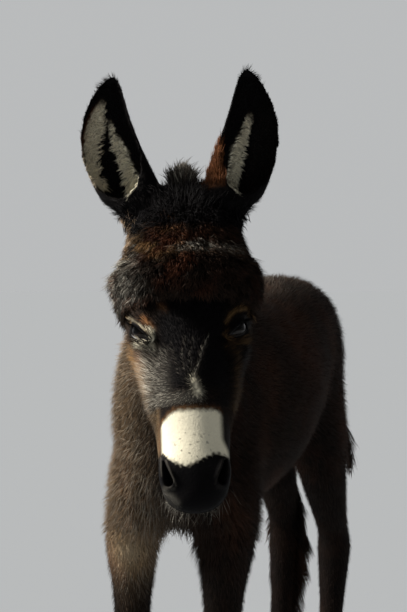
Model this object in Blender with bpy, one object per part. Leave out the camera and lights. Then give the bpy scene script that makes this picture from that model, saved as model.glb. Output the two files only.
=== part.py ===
"""Miniature donkey foal standing square with its head lowered and turned to its left.

Metres, +Z up, the floor at zero. The body lies along Y with the head towards -Y, so the
foal's left side is +X. The flesh is shaped once, whole, and parted by thin plane cuts.
"""

import math
import random

import bmesh
import bpy
from mathutils import Matrix, Vector
from mathutils.bvhtree import BVHTree

# Heights above the floor, coat included
WITHERS_Z = 0.695
CROUP_Z = 0.695
BACK_Z = 0.675
STERNUM_Z = 0.387
BELLY_Z = 0.402
FLANK_Z = 0.437
ELBOW_Z = 0.42
KNEE_Z = 0.245
STIFLE_Z = 0.44
HOCK_Z = 0.255
FETLOCK_Z = 0.085
CORONET_Z = 0.036

# Places along and across the body
BREAST_Y = -0.262
FORE_Y = -0.165
HIND_Y = 0.225
BUTTOCK_Y = 0.318
FORE_X = 0.061
HIND_X = 0.058
HOOF_STEP = 0.020
FORE_LEAN = -0.012
HIND_LEAN = 0.010
RIGHT_HIND_BACK = 0.050
RIGHT_HIND_IN = 0.020
LEGS_MIDDLE = 0.004

# Half widths of the trunk
CHEST_HALF = 0.090
BARREL_HALF = 0.115
HIP_HALF = 0.100

# Head: the poll is its origin, and it turns, nods and rolls about that point
POLL = Vector((0.0646, -0.3372, 0.790))
HEAD_LENGTH = 0.318
HEAD_YAW = math.radians(21.7)
HEAD_NOD = math.radians(24.5)
HEAD_ROLL = math.radians(2.3)
BROW_HALF = 0.066
MUZZLE_HALF = 0.0345

# Eyes, from the poll along the head, to its side and out of its axis
EYE_ALONG = 0.144
EYE_ACROSS = 0.0395
EYE_OUT = 0.0230
EYE_RADIUS = 0.0172
EYE_ASIDE = math.radians(50)
EYE_HALF = 0.0150
EYE_OPENING = 0.0082
EYE_SIDES = 20
EYE_SLANT = math.radians(50)
MOUTH_SLOT = 0.0016

# Ears; the right one, -1, stands out further than the left one, 1
EAR_ACROSS = 0.047
EAR_LENGTH = {-1: 0.1345, 1: 0.138}
EAR_HALF = 0.0345
EAR_SPLAY = {-1: math.radians(8.5), 1: math.radians(5.5)}
EAR_FORWARD = math.radians(3)
EAR_TURN = math.radians(16)
EAR_PLANE_UP = 0.008
EAR_BOW = {-1: 0.0190, 1: 0.0155}

# Tail
DOCK_Z = 0.650
DOCK_RADIUS = 0.017
TAIL_TIP = Vector((0.086, BUTTOCK_Y + 0.046, 0.335))

# Hair: locks are length, width and thickness; CORE_SHARE is how far the hair's core reaches
MANE_HEIGHT = 0.046
MANE_LOCK = (0.023, 0.0052)
MANE_BETWEEN = 4
MANE_STAGGER = 0.004
CROWN_LOCK = (0.027, 0.019, 0.0048)
WOOL_LOCK = (0.035, 0.0245, 0.0054)
WOOL_TIERS = 4
WOOL_ACROSS = 10
WOOL_FIRST = 0.032
WOOL_STEP = 0.0240
BRUSH_LOCK = (0.076, 0.0155, 0.0040)
BRUSH_TIERS = 5
BRUSH_AROUND = 4
CORE_SHARE = 0.5
SUNK = 0.010
REACH = 0.150

# Making
GAP = 0.0003
VOXEL = 0.0045
SMOOTHING = 14
TRUNK_SMOOTHING = 50
MARGIN = 0.010
SEED = 7
SIDES = {"right": -1, "left": 1}

# Triangles that each length of flesh is coarsened to, before its hair is added
HEAD_TRIANGLES = 2200
NECK_TRIANGLES = 450
TORSO_TRIANGLES = 1450
TAIL_TRIANGLES = 260
LEG_TRIANGLES = 440

UP = Vector((0.0, 0.0, 1.0))
LEFT = Vector((1.0, 0.0, 0.0))
BACK = Vector((0.0, 1.0, 0.0))

COAT_COLOUR = (0.045, 0.028, 0.020)
HORN_COLOUR = (0.060, 0.050, 0.045)
EYE_COLOUR = (0.015, 0.012, 0.012)


def head_axes():
    """Unit vectors of the head: ahead on the level, along the face, out of it, and to its left."""
    ahead = Vector((math.sin(HEAD_YAW), -math.cos(HEAD_YAW), 0.0))
    out = ahead * math.cos(HEAD_NOD) + UP * math.sin(HEAD_NOD)
    along = ahead * math.sin(HEAD_NOD) - UP * math.cos(HEAD_NOD)
    left = UP.cross(ahead)
    roll = Matrix.Rotation(HEAD_ROLL, 3, out)
    return ahead, roll @ along, out, roll @ left


AHEAD, ALONG, OUT, ACROSS = head_axes()
HEAD_TURN = Matrix((ACROSS, ALONG, OUT)).transposed()

# Thin cuts between the named parts: a point, and the direction of the second part
HEAD_CUT = (Vector((0.053, -0.300, 0.700)), AHEAD)
NECK_CUT = (Vector((0.0, -0.207, 0.630)), Vector((0.08, -0.72, 0.69)).normalized())
LEG_CUT = (Vector((0.0, -0.250, 0.379)), Vector((0.0, 0.055, -1.0)).normalized())
TAIL_CUT = (Vector((0.0, BUTTOCK_Y + 0.008, 0.640)), BACK)


def in_head(along, across, out):
    """A point given in the head's own directions, measured from the poll."""
    return POLL + ALONG * along + ACROSS * across + OUT * out


def clear_scene():
    for obj in list(bpy.data.objects):
        bpy.data.objects.remove(obj, do_unlink=True)


def object_from(name, builder):
    """A linked mesh object from a bmesh, with its faces made to face out."""
    bmesh.ops.recalc_face_normals(builder, faces=builder.faces)
    mesh = bpy.data.meshes.new(name)
    builder.to_mesh(mesh)
    builder.free()
    obj = bpy.data.objects.new(name, mesh)
    bpy.context.scene.collection.objects.link(obj)
    return obj


def builder_of(obj):
    builder = bmesh.new()
    builder.from_mesh(obj.data)
    return builder


def apply_modifiers(obj):
    """Replaces the object's mesh by what its modifiers make of it."""
    bpy.context.view_layer.update()
    graph = bpy.context.evaluated_depsgraph_get()
    made = bpy.data.meshes.new_from_object(obj.evaluated_get(graph))
    obj.modifiers.clear()
    old = obj.data
    obj.data = made
    bpy.data.meshes.remove(old)
    return obj


def smooth_rows(rows, between):
    """Rows of numbers joined by a cubic curve through them, spaced by their centres."""
    where = [0.0]
    for first, second in zip(rows, rows[1:]):
        step = (Vector(second[:3]) - Vector(first[:3])).length
        where.append(where[-1] + max(step, 1e-4))
    slopes = []
    for i in range(len(rows)):
        low, high = max(i - 1, 0), min(i + 1, len(rows) - 1)
        span = where[high] - where[low]
        slopes.append([(b - a) / span for a, b in zip(rows[low], rows[high])])
    out = []
    for i in range(len(rows) - 1):
        span = where[i + 1] - where[i]
        for k in range(between):
            t = k / between
            start = 2 * t**3 - 3 * t**2 + 1
            leave = t**3 - 2 * t**2 + t
            arrive = t**3 - t**2
            out.append([
                start * p + leave * span * m + (1 - start) * q + arrive * span * n
                for p, q, m, n in zip(rows[i], rows[i + 1], slopes[i], slopes[i + 1])
            ])
    out.append(list(rows[-1]))
    return out


def rounded(value, power):
    return math.copysign(abs(value) ** power, value)


def tube(name, rows, side, around=24, between=4, squareness=1.0):
    """A closed body through rows of x, y, z, half side, half front and half back.

    side is the direction of the first half size, and front is side cross travel.
    """
    rows = smooth_rows(rows, between)
    builder = bmesh.new()
    rings = []
    for i, row in enumerate(rows):
        here = Vector(row[:3])
        before = Vector(rows[max(i - 1, 0)][:3])
        after = Vector(rows[min(i + 1, len(rows) - 1)][:3])
        travel = (after - before).normalized()
        across = (side - travel * side.dot(travel)).normalized()
        front = across.cross(travel).normalized()
        ring = []
        for k in range(around):
            angle = 2 * math.pi * k / around
            c = rounded(math.cos(angle), squareness)
            s = rounded(math.sin(angle), squareness)
            depth = row[4] if s > 0 else row[5]
            ring.append(builder.verts.new(here + across * row[3] * c + front * depth * s))
        rings.append(ring)
    for first, second in zip(rings, rings[1:]):
        for k in range(around):
            j = (k + 1) % around
            builder.faces.new((first[k], first[j], second[j], second[k]))
    builder.faces.new(rings[0])
    builder.faces.new(list(reversed(rings[-1])))
    return object_from(name, builder)


def ball(name, centre, sizes, turn=None, fineness=3):
    """An ellipsoid of three half sizes, turned by a 3x3 matrix."""
    builder = bmesh.new()
    bmesh.ops.create_icosphere(builder, subdivisions=fineness, radius=1.0)
    spin = (turn or Matrix.Identity(3)).to_4x4()
    place = Matrix.Translation(centre) @ spin @ Matrix.Diagonal((*sizes, 1.0))
    bmesh.ops.transform(builder, matrix=place, verts=builder.verts)
    return object_from(name, builder)


def prism(name, outline, reach):
    """A closed body between the outline moved by minus and by plus the vector reach."""
    builder = bmesh.new()
    near = [builder.verts.new(point - reach) for point in outline]
    far = [builder.verts.new(point + reach) for point in outline]
    for k in range(len(outline)):
        j = (k + 1) % len(outline)
        builder.faces.new((near[k], near[j], far[j], far[k]))
    builder.faces.new(near)
    builder.faces.new(list(reversed(far)))
    return object_from(name, builder)


def trunk_pieces():
    """Chest, barrel and croup, with the shoulder and haunch muscles on each side."""
    profile = [
        (BREAST_Y, 0.590, 0.470, 0.045),
        (BREAST_Y + 0.020, 0.625, 0.430, 0.074),
        (-0.200, 0.664, 0.400, 0.084),
        (-0.140, WITHERS_Z - 0.003, STERNUM_Z, CHEST_HALF),
        (-0.060, 0.684, STERNUM_Z + 0.002, 0.105),
        (0.030, BACK_Z, BELLY_Z, BARREL_HALF),
        (0.115, 0.683, FLANK_Z, 0.108),
        (0.190, CROUP_Z, 0.472, HIP_HALF),
        (0.255, 0.683, 0.498, 0.088),
        (BUTTOCK_Y - 0.022, 0.650, 0.520, 0.070),
        (BUTTOCK_Y, 0.612, 0.545, 0.036),
    ]
    rows = []
    for y, top, bottom, half in profile:
        middle = bottom + 0.55 * (top - bottom)
        rows.append((0.0, y, middle, half, top - middle, middle - bottom))
    pieces = [tube("trunk", rows, LEFT, around=32, squareness=0.93)]
    blade = Matrix.Rotation(math.radians(24), 3, "X")
    for sign in (-1, 1):
        pieces.append(ball("shoulder", (sign * 0.041, -0.168, 0.548), (0.046, 0.070, 0.128), blade))
        pieces.append(ball("arm", (sign * 0.051, -0.176, 0.462), (0.043, 0.072, 0.080)))
        pieces.append(ball("haunch", (sign * 0.046, 0.215, 0.560), (0.056, 0.100, 0.116)))
        pieces.append(ball("thigh", (sign * 0.052, 0.216, 0.480), (0.050, 0.092, 0.100)))
    return pieces


def foreleg_piece(sign):
    rows = [
        (0.058, FORE_Y, 0.500, 0.040, 0.058, 0.058),
        (0.062, FORE_Y, ELBOW_Z, 0.041, 0.050, 0.056),
        (FORE_X + 0.002, FORE_Y - 0.002, 0.372, 0.038, 0.043, 0.044),
        (FORE_X, FORE_Y - 0.004, 0.318, 0.030, 0.033, 0.033),
        (FORE_X, FORE_Y - 0.006, 0.278, 0.0265, 0.028, 0.028),
        (FORE_X, FORE_Y - 0.008, KNEE_Z, 0.031, 0.031, 0.029),
        (FORE_X, FORE_Y - 0.006, 0.212, 0.0255, 0.025, 0.027),
        (FORE_X, FORE_Y - 0.004, 0.150, 0.0205, 0.021, 0.024),
        (FORE_X, FORE_Y - 0.004, 0.108, 0.0215, 0.022, 0.027),
        (FORE_X, FORE_Y - 0.006, FETLOCK_Z, 0.0255, 0.025, 0.031),
        (FORE_X, FORE_Y - 0.014, 0.060, 0.0215, 0.023, 0.024),
        (FORE_X, FORE_Y - HOOF_STEP, CORONET_Z, 0.0245, 0.028, 0.027),
        (FORE_X, FORE_Y - HOOF_STEP, CORONET_Z - 0.014, 0.024, 0.027, 0.026),
    ]
    return leg_tube("foreleg", rows, sign)


def hindleg_piece(sign):
    rows = [
        (0.052, HIND_Y - 0.005, 0.560, 0.046, 0.078, 0.078),
        (0.056, HIND_Y - 0.005, 0.490, 0.048, 0.082, 0.080),
        (0.057, HIND_Y, STIFLE_Z - 0.01, 0.045, 0.074, 0.068),
        (0.057, HIND_Y + 0.014, 0.370, 0.037, 0.052, 0.050),
        (HIND_X, HIND_Y + 0.038, 0.318, 0.030, 0.036, 0.037),
        (HIND_X, HIND_Y + 0.058, 0.280, 0.0265, 0.029, 0.035),
        (HIND_X, HIND_Y + 0.064, HOCK_Z, 0.029, 0.031, 0.040),
        (HIND_X, HIND_Y + 0.062, 0.222, 0.0265, 0.029, 0.032),
        (HIND_X, HIND_Y + 0.052, 0.155, 0.0215, 0.022, 0.025),
        (HIND_X, HIND_Y + 0.047, 0.108, 0.0220, 0.022, 0.027),
        (HIND_X, HIND_Y + 0.043, FETLOCK_Z, 0.0255, 0.025, 0.031),
        (HIND_X, HIND_Y + 0.034, 0.060, 0.0215, 0.023, 0.024),
        (HIND_X, HIND_Y + 0.028, CORONET_Z, 0.0245, 0.028, 0.027),
        (HIND_X, HIND_Y + 0.028, CORONET_Z - 0.014, 0.024, 0.027, 0.026),
    ]
    return leg_tube("hindleg", rows, sign)


def stance(name, sign, z):
    """How far a leg leans to the side and back at a height, as the foal shifts its weight."""
    top = 0.50
    share = min(1.0, max(0.0, (top - z) / 0.14))
    if name == "foreleg":
        return FORE_LEAN * share, 0.0
    back = RIGHT_HIND_BACK if sign < 0 else 0.0
    return (HIND_LEAN + (RIGHT_HIND_IN if sign < 0 else 0.0)) * share, back * share


def leg_tube(name, rows, sign):
    """A leg through rows given for the left side. Travel is down, so front comes first."""
    placed = []
    for x, y, z, side, front, back in rows:
        aside, behind = stance(name, sign, z)
        placed.append((sign * x + aside, y + behind, z, side, front, back))
    return tube(name, placed, -LEFT, around=20)


def neck_piece():
    """The neck from inside the chest to behind the poll: half side, crest and throat depths."""
    rows = [
        (0.000, -0.100, 0.570, 0.070, 0.108, 0.118),
        (0.003, -0.170, 0.612, 0.060, 0.092, 0.112),
        (0.014, -0.226, 0.662, 0.058, 0.078, 0.092),
        (0.034, -0.276, 0.708, 0.057, 0.070, 0.074),
        (0.056, -0.320, 0.744, 0.052, 0.060, 0.058),
    ]
    return tube("neck", rows, -ACROSS, around=24)


def head_pieces():
    """Skull and nose from poll to lips, the cheeks, the brows over the eyes, and the muzzle."""
    profile = [
        (-0.024, 0.030, 0.012, 0.030),
        (0.000, 0.050, 0.036, 0.048),
        (0.040, 0.061, 0.055, 0.058),
        (0.085, BROW_HALF + 0.002, 0.061, 0.068),
        (0.115, BROW_HALF + 0.004, 0.058, 0.071),
        (0.142, BROW_HALF - 0.002, 0.052, 0.068),
        (0.172, 0.0525, 0.046, 0.060),
        (0.205, 0.0445, 0.041, 0.049),
        (0.245, 0.0385, 0.037, 0.039),
        (0.280, MUZZLE_HALF + 0.001, 0.035, 0.033),
        (0.304, MUZZLE_HALF - 0.002, 0.028, 0.028),
        (HEAD_LENGTH, 0.021, 0.012, 0.016),
    ]
    rows = [(*in_head(s, 0.0, 0.0), half, out, behind) for s, half, out, behind in profile]
    pieces = [tube("skull", rows, -ACROSS, around=28, squareness=0.92)]
    for sign in (-1, 1):
        cheek = in_head(0.112, sign * 0.031, -0.036)
        pieces.append(ball("cheek", cheek, (0.024, 0.060, 0.048), HEAD_TURN))
        brow = in_head(EYE_ALONG - 0.012, sign * 0.046, 0.028)
        pieces.append(ball("brow", brow, (0.021, 0.028, 0.021), HEAD_TURN))
        wing = in_head(0.284, sign * 0.022, 0.014)
        pieces.append(ball("nostril_wing", wing, (0.0155, 0.019, 0.020), HEAD_TURN))
        pieces.append(ear_stump(sign))
    pieces.append(ball("upper_lip", in_head(0.303, 0, 0.006), (0.029, 0.0205, 0.024), HEAD_TURN))
    pieces.append(ball("chin", in_head(0.292, 0, -0.023), (0.022, 0.024, 0.016), HEAD_TURN))
    return pieces


def mane_rows():
    """Points on the crest from the withers to the poll, and how high the mane stands there."""
    return [
        (-0.004, -0.085, 0.690, 0.25 * MANE_HEIGHT),
        (0.000, -0.150, 0.712, 0.75 * MANE_HEIGHT),
        (0.012, -0.205, 0.742, 0.92 * MANE_HEIGHT),
        (0.028, -0.258, 0.778, MANE_HEIGHT),
        (0.050, -0.306, 0.806, 0.80 * MANE_HEIGHT),
        (0.062, -0.330, 0.822, 0.45 * MANE_HEIGHT),
    ]


def hair_cores():
    """What the long hair grows from: a low ridge along the crest and the raised brow."""
    crest = [(x, y, z, 0.013, height * CORE_SHARE, 0.036) for x, y, z, height in mane_rows()]
    brow = in_head(0.090, 0.0, 0.009)
    return [
        tube("mane_core", crest, -ACROSS, around=16),
        ball("brow_core", brow, (0.0765, 0.050, 0.0605), HEAD_TURN),
    ]


def mane_roots():
    """Points along the crest, with the way along it, the way up from it and the mane's height."""
    rows = smooth_rows(mane_rows(), MANE_BETWEEN)
    for before, here, after in zip(rows, rows[1:], rows[2:]):
        travel = (Vector(after[:3]) - Vector(before[:3])).normalized()
        yield Vector(here[:3]), travel, travel.cross(ACROSS).normalized(), here[3]


def mane_locks(obj, planes):
    """Flat upright locks in two rows on the crest, those that are rooted within the planes."""
    skin = skin_of(obj)
    draw = random.Random(SEED)
    width, thick = MANE_LOCK
    locks = []
    for crest, travel, up, height in mane_roots():
        for sign in (-1, 1):
            lean = draw.uniform(0.02, 0.20) * sign
            swing = draw.uniform(0.05, 0.40)
            tall = height * draw.uniform(0.92, 1.12)
            if any((crest - point).dot(direction) > -0.004 for point, direction in planes):
                continue
            aside = (up + ACROSS * (sign * 0.25)).normalized()
            stagger = travel * (MANE_STAGGER * sign)
            root, _ = on_skin(skin, crest - up * 0.010 + stagger, aside)
            lie = (up + ACROSS * lean + travel * swing).normalized()
            length = tall - (root - crest).dot(up)
            locks.append(lock(root, lie, ACROSS * sign, length, width, thick, SUNK, 0.08))
    return locks


def crown_locks(skin):
    """The tuft between the ears: locks that fan out upwards, and a fringe that falls forwards."""
    draw = random.Random(SEED + 1)
    length, width, thick = CROWN_LOCK
    locks = []
    for back, count in ((0.014, 5), (-0.004, 4)):
        for k in range(count):
            fan = (k + 0.5) / count * 2 - 1
            aside = (UP + ACROSS * fan * 0.30).normalized()
            root, _ = on_skin(skin, POLL + ACROSS * (0.013 * fan) - AHEAD * back, aside)
            lie = UP + ACROSS * (fan * 0.62) + AHEAD * draw.uniform(-0.15, 0.20)
            facing = AHEAD if back < 0 else -AHEAD
            tall = length * draw.uniform(0.88, 1.05) * (1.0 - 0.18 * fan * fan)
            locks.append(lock(root, lie, facing, tall, width, thick, SUNK, 0.10))
    for k in range(5):
        fan = (k + 0.5) / 5 * 2 - 1
        aside = (OUT * 0.8 - ALONG * 0.6 + ACROSS * fan * 0.25).normalized()
        root, normal = on_skin(skin, in_head(0.006, 0.014 * fan, 0.0), aside)
        lie = ALONG + normal * 0.45 + ACROSS * (fan * 0.55 + draw.uniform(-0.1, 0.1))
        locks.append(lock(root, lie, normal, length * draw.uniform(0.9, 1.1), width, thick, SUNK, 0.22))
    return locks


def wool_locks(skin):
    """Shaggy locks in staggered tiers that lie down the brow and spread to its sides."""
    draw = random.Random(SEED + 2)
    length, width, thick = WOOL_LOCK
    locks = []
    for tier in range(WOOL_TIERS):
        along = WOOL_FIRST + tier * WOOL_STEP
        for k in range(WOOL_ACROSS - tier % 2):
            turn = (k + 0.5) / (WOOL_ACROSS - tier % 2) * 2 - 1
            angle = math.radians(100) * turn + draw.uniform(-0.04, 0.04)
            aside = OUT * math.cos(angle) + ACROSS * math.sin(angle)
            step = draw.uniform(-0.003, 0.003)
            over_eye = tier == WOOL_TIERS - 1 and 0.25 < abs(turn) < 0.85
            if tier == 0 and abs(turn) > 0.30 and abs(turn) < 0.75:
                continue
            root, normal = on_skin(skin, in_head(along + step, 0.0, 0.0), aside)
            tall = length * draw.uniform(0.85, 1.10) * (0.62 if over_eye else 1.0)
            lie = ALONG + normal * draw.uniform(0.46, 0.60) + ACROSS * (0.16 * turn)
            lie += aside.cross(ALONG) * draw.uniform(-0.20, 0.20)
            bend = 0.20 + 0.14 * abs(turn)
            locks.append(lock(root, lie, normal, tall, width, thick, SUNK, bend))
    return locks


def brush_locks(skin):
    """Long locks that hang from the lower half of the tail and close to a point."""
    draw = random.Random(SEED + 3)
    length, width, thick = BRUSH_LOCK
    line = [Vector(row[:3]) for row in smooth_rows(tail_rows(), 6)]
    locks = []
    for tier in range(BRUSH_TIERS):
        level = 0.525 - tier * (0.525 - TAIL_TIP.z - length) / (BRUSH_TIERS - 1)
        above = min(line, key=lambda point: abs(point.z - level))
        below = min(line, key=lambda point: abs(point.z - level + 0.04))
        down = (below - above).normalized()
        for k in range(BRUSH_AROUND):
            angle = 2 * math.pi * (k + 0.5 * (tier % 2)) / BRUSH_AROUND
            aside = LEFT * math.cos(angle) + BACK * math.sin(angle)
            root, normal = on_skin(skin, above, aside)
            spread = 0.24 - 0.03 * tier
            lie = down + aside * spread + LEFT * draw.uniform(-0.05, 0.05)
            tall = length * draw.uniform(0.90, 1.0)
            locks.append(lock(root, lie, normal, tall, width, thick, SUNK * 0.8, 0.10))
    return locks


def tail_rows():
    """The dock arching out of the rump and the tail's core, which ends high in the brush."""
    return [
        (0.000, BUTTOCK_Y - 0.045, DOCK_Z + 0.006, 0.018, 0.015, 0.016),
        (0.000, BUTTOCK_Y - 0.006, DOCK_Z, DOCK_RADIUS, 0.015, 0.016),
        (0.003, BUTTOCK_Y + 0.024, DOCK_Z - 0.020, 0.016, 0.014, 0.014),
        (0.012, BUTTOCK_Y + 0.036, 0.585, 0.0145, 0.013, 0.013),
        (0.030, BUTTOCK_Y + 0.040, 0.515, 0.0140, 0.013, 0.013),
        (0.050, BUTTOCK_Y + 0.043, 0.450, 0.0130, 0.012, 0.012),
        (0.066, BUTTOCK_Y + 0.045, 0.400, 0.0105, 0.010, 0.010),
        (0.073, BUTTOCK_Y + 0.045, 0.378, 0.0060, 0.006, 0.006),
    ]


def ear_axes(sign):
    """The ear's own directions: up its length, the way it opens, and its side."""
    up = UP * math.cos(EAR_SPLAY[sign]) + ACROSS * (sign * math.sin(EAR_SPLAY[sign]))
    up = (up + AHEAD * math.tan(EAR_FORWARD)).normalized()
    opens = (AHEAD * math.cos(EAR_TURN) + ACROSS * (sign * math.sin(EAR_TURN)))
    opens = (opens - up * opens.dot(up)).normalized()
    return up, opens, up.cross(opens)


def ear_root(sign):
    return in_head(0.002, sign * EAR_ACROSS, 0.004)


def ear_cut(sign):
    """The plane that parts the ear from its stump on the skull."""
    up = ear_axes(sign)[0]
    return ear_root(sign) + up * EAR_PLANE_UP, up


def ear_outline():
    """Share of the ear's height, half width, depth to the front and depth to the back."""
    return [
        (-0.36, 0.0170, 0.0170, 0.0170),
        (-0.20, 0.0250, 0.0200, 0.0205),
        (-0.06, EAR_HALF - 0.0035, 0.0215, 0.0225),
        (0.10, EAR_HALF - 0.0010, 0.0215, 0.0225),
        (0.25, EAR_HALF, 0.0190, 0.0220),
        (0.42, EAR_HALF - 0.0010, 0.0150, 0.0205),
        (0.62, 0.0290, 0.0110, 0.0170),
        (0.80, 0.0205, 0.0075, 0.0120),
        (0.93, 0.0115, 0.0050, 0.0070),
        (1.00, 0.0035, 0.0020, 0.0025),
    ]


def ear_middle(sign, share):
    """A point on the ear's middle line, which bows outwards and nods forwards at its tip."""
    up, opens, side = ear_axes(sign)
    start = ear_root(sign) + up * EAR_PLANE_UP
    if share > 0:
        bow = EAR_BOW[sign] * math.sin(math.pi * share)
    else:
        bow = EAR_BOW[sign] * math.pi * share
    outwards = ACROSS * sign
    return start + up * (EAR_LENGTH[sign] * share) + outwards * bow + opens * (0.010 * share * share)


def ear_rows(sign, outline):
    return [(*ear_middle(sign, share), half, front, back) for share, half, front, back in outline]


def ear_stump(sign):
    """The lower end of the ear, which stays on the skull."""
    return tube("ear_stump", ear_rows(sign, ear_outline()[:5]), ear_axes(sign)[2], around=20)


def join_flesh(pieces):
    """One even, softened skin round all the pieces."""
    builder = bmesh.new()
    for piece in pieces:
        builder.from_mesh(piece.data)
        bpy.data.objects.remove(piece, do_unlink=True)
    flesh = object_from("flesh", builder)
    remesh = flesh.modifiers.new("even_skin", "REMESH")
    remesh.mode = "VOXEL"
    remesh.voxel_size = VOXEL
    apply_modifiers(flesh)
    trunk = flesh.vertex_groups.new(name="trunk")
    for vert in flesh.data.vertices:
        trunk.add([vert.index], trunk_share(vert.co), "REPLACE")
    for group, iterations in (("", SMOOTHING), ("trunk", TRUNK_SMOOTHING)):
        soften = flesh.modifiers.new("soften", "SMOOTH")
        soften.factor = 0.5
        soften.iterations = iterations
        soften.vertex_group = group
    return apply_modifiers(flesh)


def trunk_share(place):
    """One on the broad muscles of the trunk and neck, falling to none on legs, head and tail."""
    above_legs = (place.z - 0.36) / 0.10
    behind_head = (HEAD_CUT[0] - place).dot(AHEAD) / 0.05
    before_tail = (BUTTOCK_Y + 0.002 - place.y) / 0.02
    return min(1.0, max(0.0, min(above_legs, behind_head, before_tail)))


def cut_off(builder, point, direction):
    """Removes what lies beyond the plane in that direction, and closes the cut."""
    geometry = builder.verts[:] + builder.edges[:] + builder.faces[:]
    bmesh.ops.bisect_plane(
        builder, geom=geometry, plane_co=point, plane_no=direction, clear_outer=True, dist=1e-6
    )
    open_edges = [edge for edge in builder.edges if edge.is_boundary]
    if open_edges:
        bmesh.ops.holes_fill(builder, edges=open_edges, sides=0)


def largest_surface(obj):
    """Keeps only the closed surface of the greatest volume."""
    builder = builder_of(obj)
    unseen = set(builder.verts)
    groups = []
    while unseen:
        stack = [unseen.pop()]
        group = set(stack)
        while stack:
            for edge in stack.pop().link_edges:
                for vert in edge.verts:
                    if vert in unseen:
                        unseen.discard(vert)
                        group.add(vert)
                        stack.append(vert)
        groups.append(group)

    def bulk(group):
        total = 0.0
        for face in {face for vert in group for face in vert.link_faces}:
            corners = [vert.co for vert in face.verts]
            for a, b in zip(corners[1:], corners[2:]):
                total += corners[0].dot(a.cross(b))
        return abs(total)

    keep = max(groups, key=bulk)
    spare = [vert for vert in builder.verts if vert not in keep]
    bmesh.ops.delete(builder, geom=spare, context="VERTS")
    builder.to_mesh(obj.data)
    builder.free()
    return obj


def part_of(flesh, name, planes, triangles):
    """The flesh on the near side of all the planes, coarsened and then cut exactly."""
    return trim(rough_part(flesh, name, planes, triangles), planes)


def rough_part(flesh, name, planes, triangles):
    """The flesh on the near side of all the planes and a little beyond, coarsened."""
    builder = builder_of(flesh)
    for point, direction in planes:
        cut_off(builder, point + direction * MARGIN, direction)
    rough = object_from(name, builder)
    largest_surface(rough)
    count = sum(len(face.vertices) - 2 for face in rough.data.polygons)
    thin = rough.modifiers.new("coarsen", "DECIMATE")
    thin.ratio = min(1.0, triangles / count)
    return apply_modifiers(rough)


def trim(obj, planes):
    builder = builder_of(obj)
    for point, direction in planes:
        cut_off(builder, point - direction * (GAP / 2), direction)
    builder.to_mesh(obj.data)
    builder.free()
    return largest_surface(obj)


def beyond(cut):
    """The same plane, for the part on its other side."""
    point, direction = cut
    return point, -direction


def boolean(obj, pieces, operation, solver="EXACT"):
    """Joins or cuts with a collection of closed pieces, applies it and removes them."""
    group = bpy.data.collections.new("pieces")
    for piece in pieces:
        for holder in list(piece.users_collection):
            holder.objects.unlink(piece)
        group.objects.link(piece)
    work = obj.modifiers.new("work", "BOOLEAN")
    work.operation = operation
    work.operand_type = "COLLECTION"
    work.collection = group
    work.solver = solver
    apply_modifiers(obj)
    for piece in pieces:
        bpy.data.objects.remove(piece, do_unlink=True)
    bpy.data.collections.remove(group)
    return obj


def lock(root, lie, out, length, width, thick, sunk, bend=0.25):
    """One flat, tapered lock: a blade that leaves its root along lie and bends away from out."""
    lie = lie.normalized()
    side = lie.cross(out).normalized()
    builder = bmesh.new()
    rings = []
    for share, wide in ((0.0, 0.75), (0.45, 1.0), (0.78, 0.62)):
        reach = -sunk + share * (length + sunk)
        droop = out * (-bend * length * share * share)
        centre = root + lie * reach + droop
        half_wide, half_thick = width * wide / 2, thick * (1.1 - share * 0.7) / 2
        corners = [
            centre + side * half_wide,
            centre + out * half_thick,
            centre - side * half_wide,
            centre - out * half_thick,
        ]
        rings.append([builder.verts.new(corner) for corner in corners])
    tip = builder.verts.new(root + lie * length - out * (bend * length))
    for first, second in zip(rings, rings[1:]):
        for k in range(4):
            j = (k + 1) % 4
            builder.faces.new((first[k], first[j], second[j], second[k]))
    for k in range(4):
        builder.faces.new((rings[-1][k], rings[-1][(k + 1) % 4], tip))
    builder.faces.new(list(reversed(rings[0])))
    return object_from("lock", builder)


def skin_of(obj):
    """The surface of an object, to find the roots of its hair on."""
    builder = builder_of(obj)
    skin = BVHTree.FromBMesh(builder)
    builder.free()
    return skin


def on_skin(skin, middle, aside):
    """The outermost point of the skin on the line from the middle aside, and its direction."""
    place, normal, _, _ = skin.ray_cast(middle + aside * REACH, -aside)
    return place, normal


def paint(obj, colour, roughness):
    material = bpy.data.materials.new(obj.name)
    material.use_nodes = True
    shader = material.node_tree.nodes["Principled BSDF"]
    shader.inputs["Base Color"].default_value = (*colour, 1.0)
    shader.inputs["Roughness"].default_value = roughness
    obj.data.materials.clear()
    obj.data.materials.append(material)


def eye_axes(sign):
    """The way the eye looks, the long way of its lids, and the short way."""
    looks = (OUT * math.cos(EYE_ASIDE) + ACROSS * (sign * math.sin(EYE_ASIDE))).normalized()
    flat = ALONG - looks * ALONG.dot(looks)
    flat = flat.normalized()
    turn = Matrix.Rotation(-sign * EYE_SLANT, 3, looks)
    longways = turn @ flat
    return looks, longways, looks.cross(longways)


def eye_centre(sign):
    return in_head(EYE_ALONG, sign * EYE_ACROSS, EYE_OUT)


def make_eye(sign, name):
    """An eyeball, and the cut-outs for its socket and for the almond between the lids."""
    looks, longways, shortways = eye_axes(sign)
    centre = eye_centre(sign)
    eye = ball(name, centre, (EYE_RADIUS,) * 3, fineness=3)
    socket = ball("socket", centre, (EYE_RADIUS + GAP * 1.8,) * 3, fineness=3)
    outline = []
    for k in range(EYE_SIDES):
        angle = 2 * math.pi * k / EYE_SIDES
        rise = math.sin(angle) * abs(math.sin(angle)) ** 0.3
        outline.append(
            centre
            + looks * EYE_RADIUS * 1.2
            + longways * (EYE_HALF * math.cos(angle))
            + shortways * (EYE_OPENING * rise)
        )
    almond = prism("almond", outline, looks * EYE_RADIUS * 0.9)
    return eye, socket, almond


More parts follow.
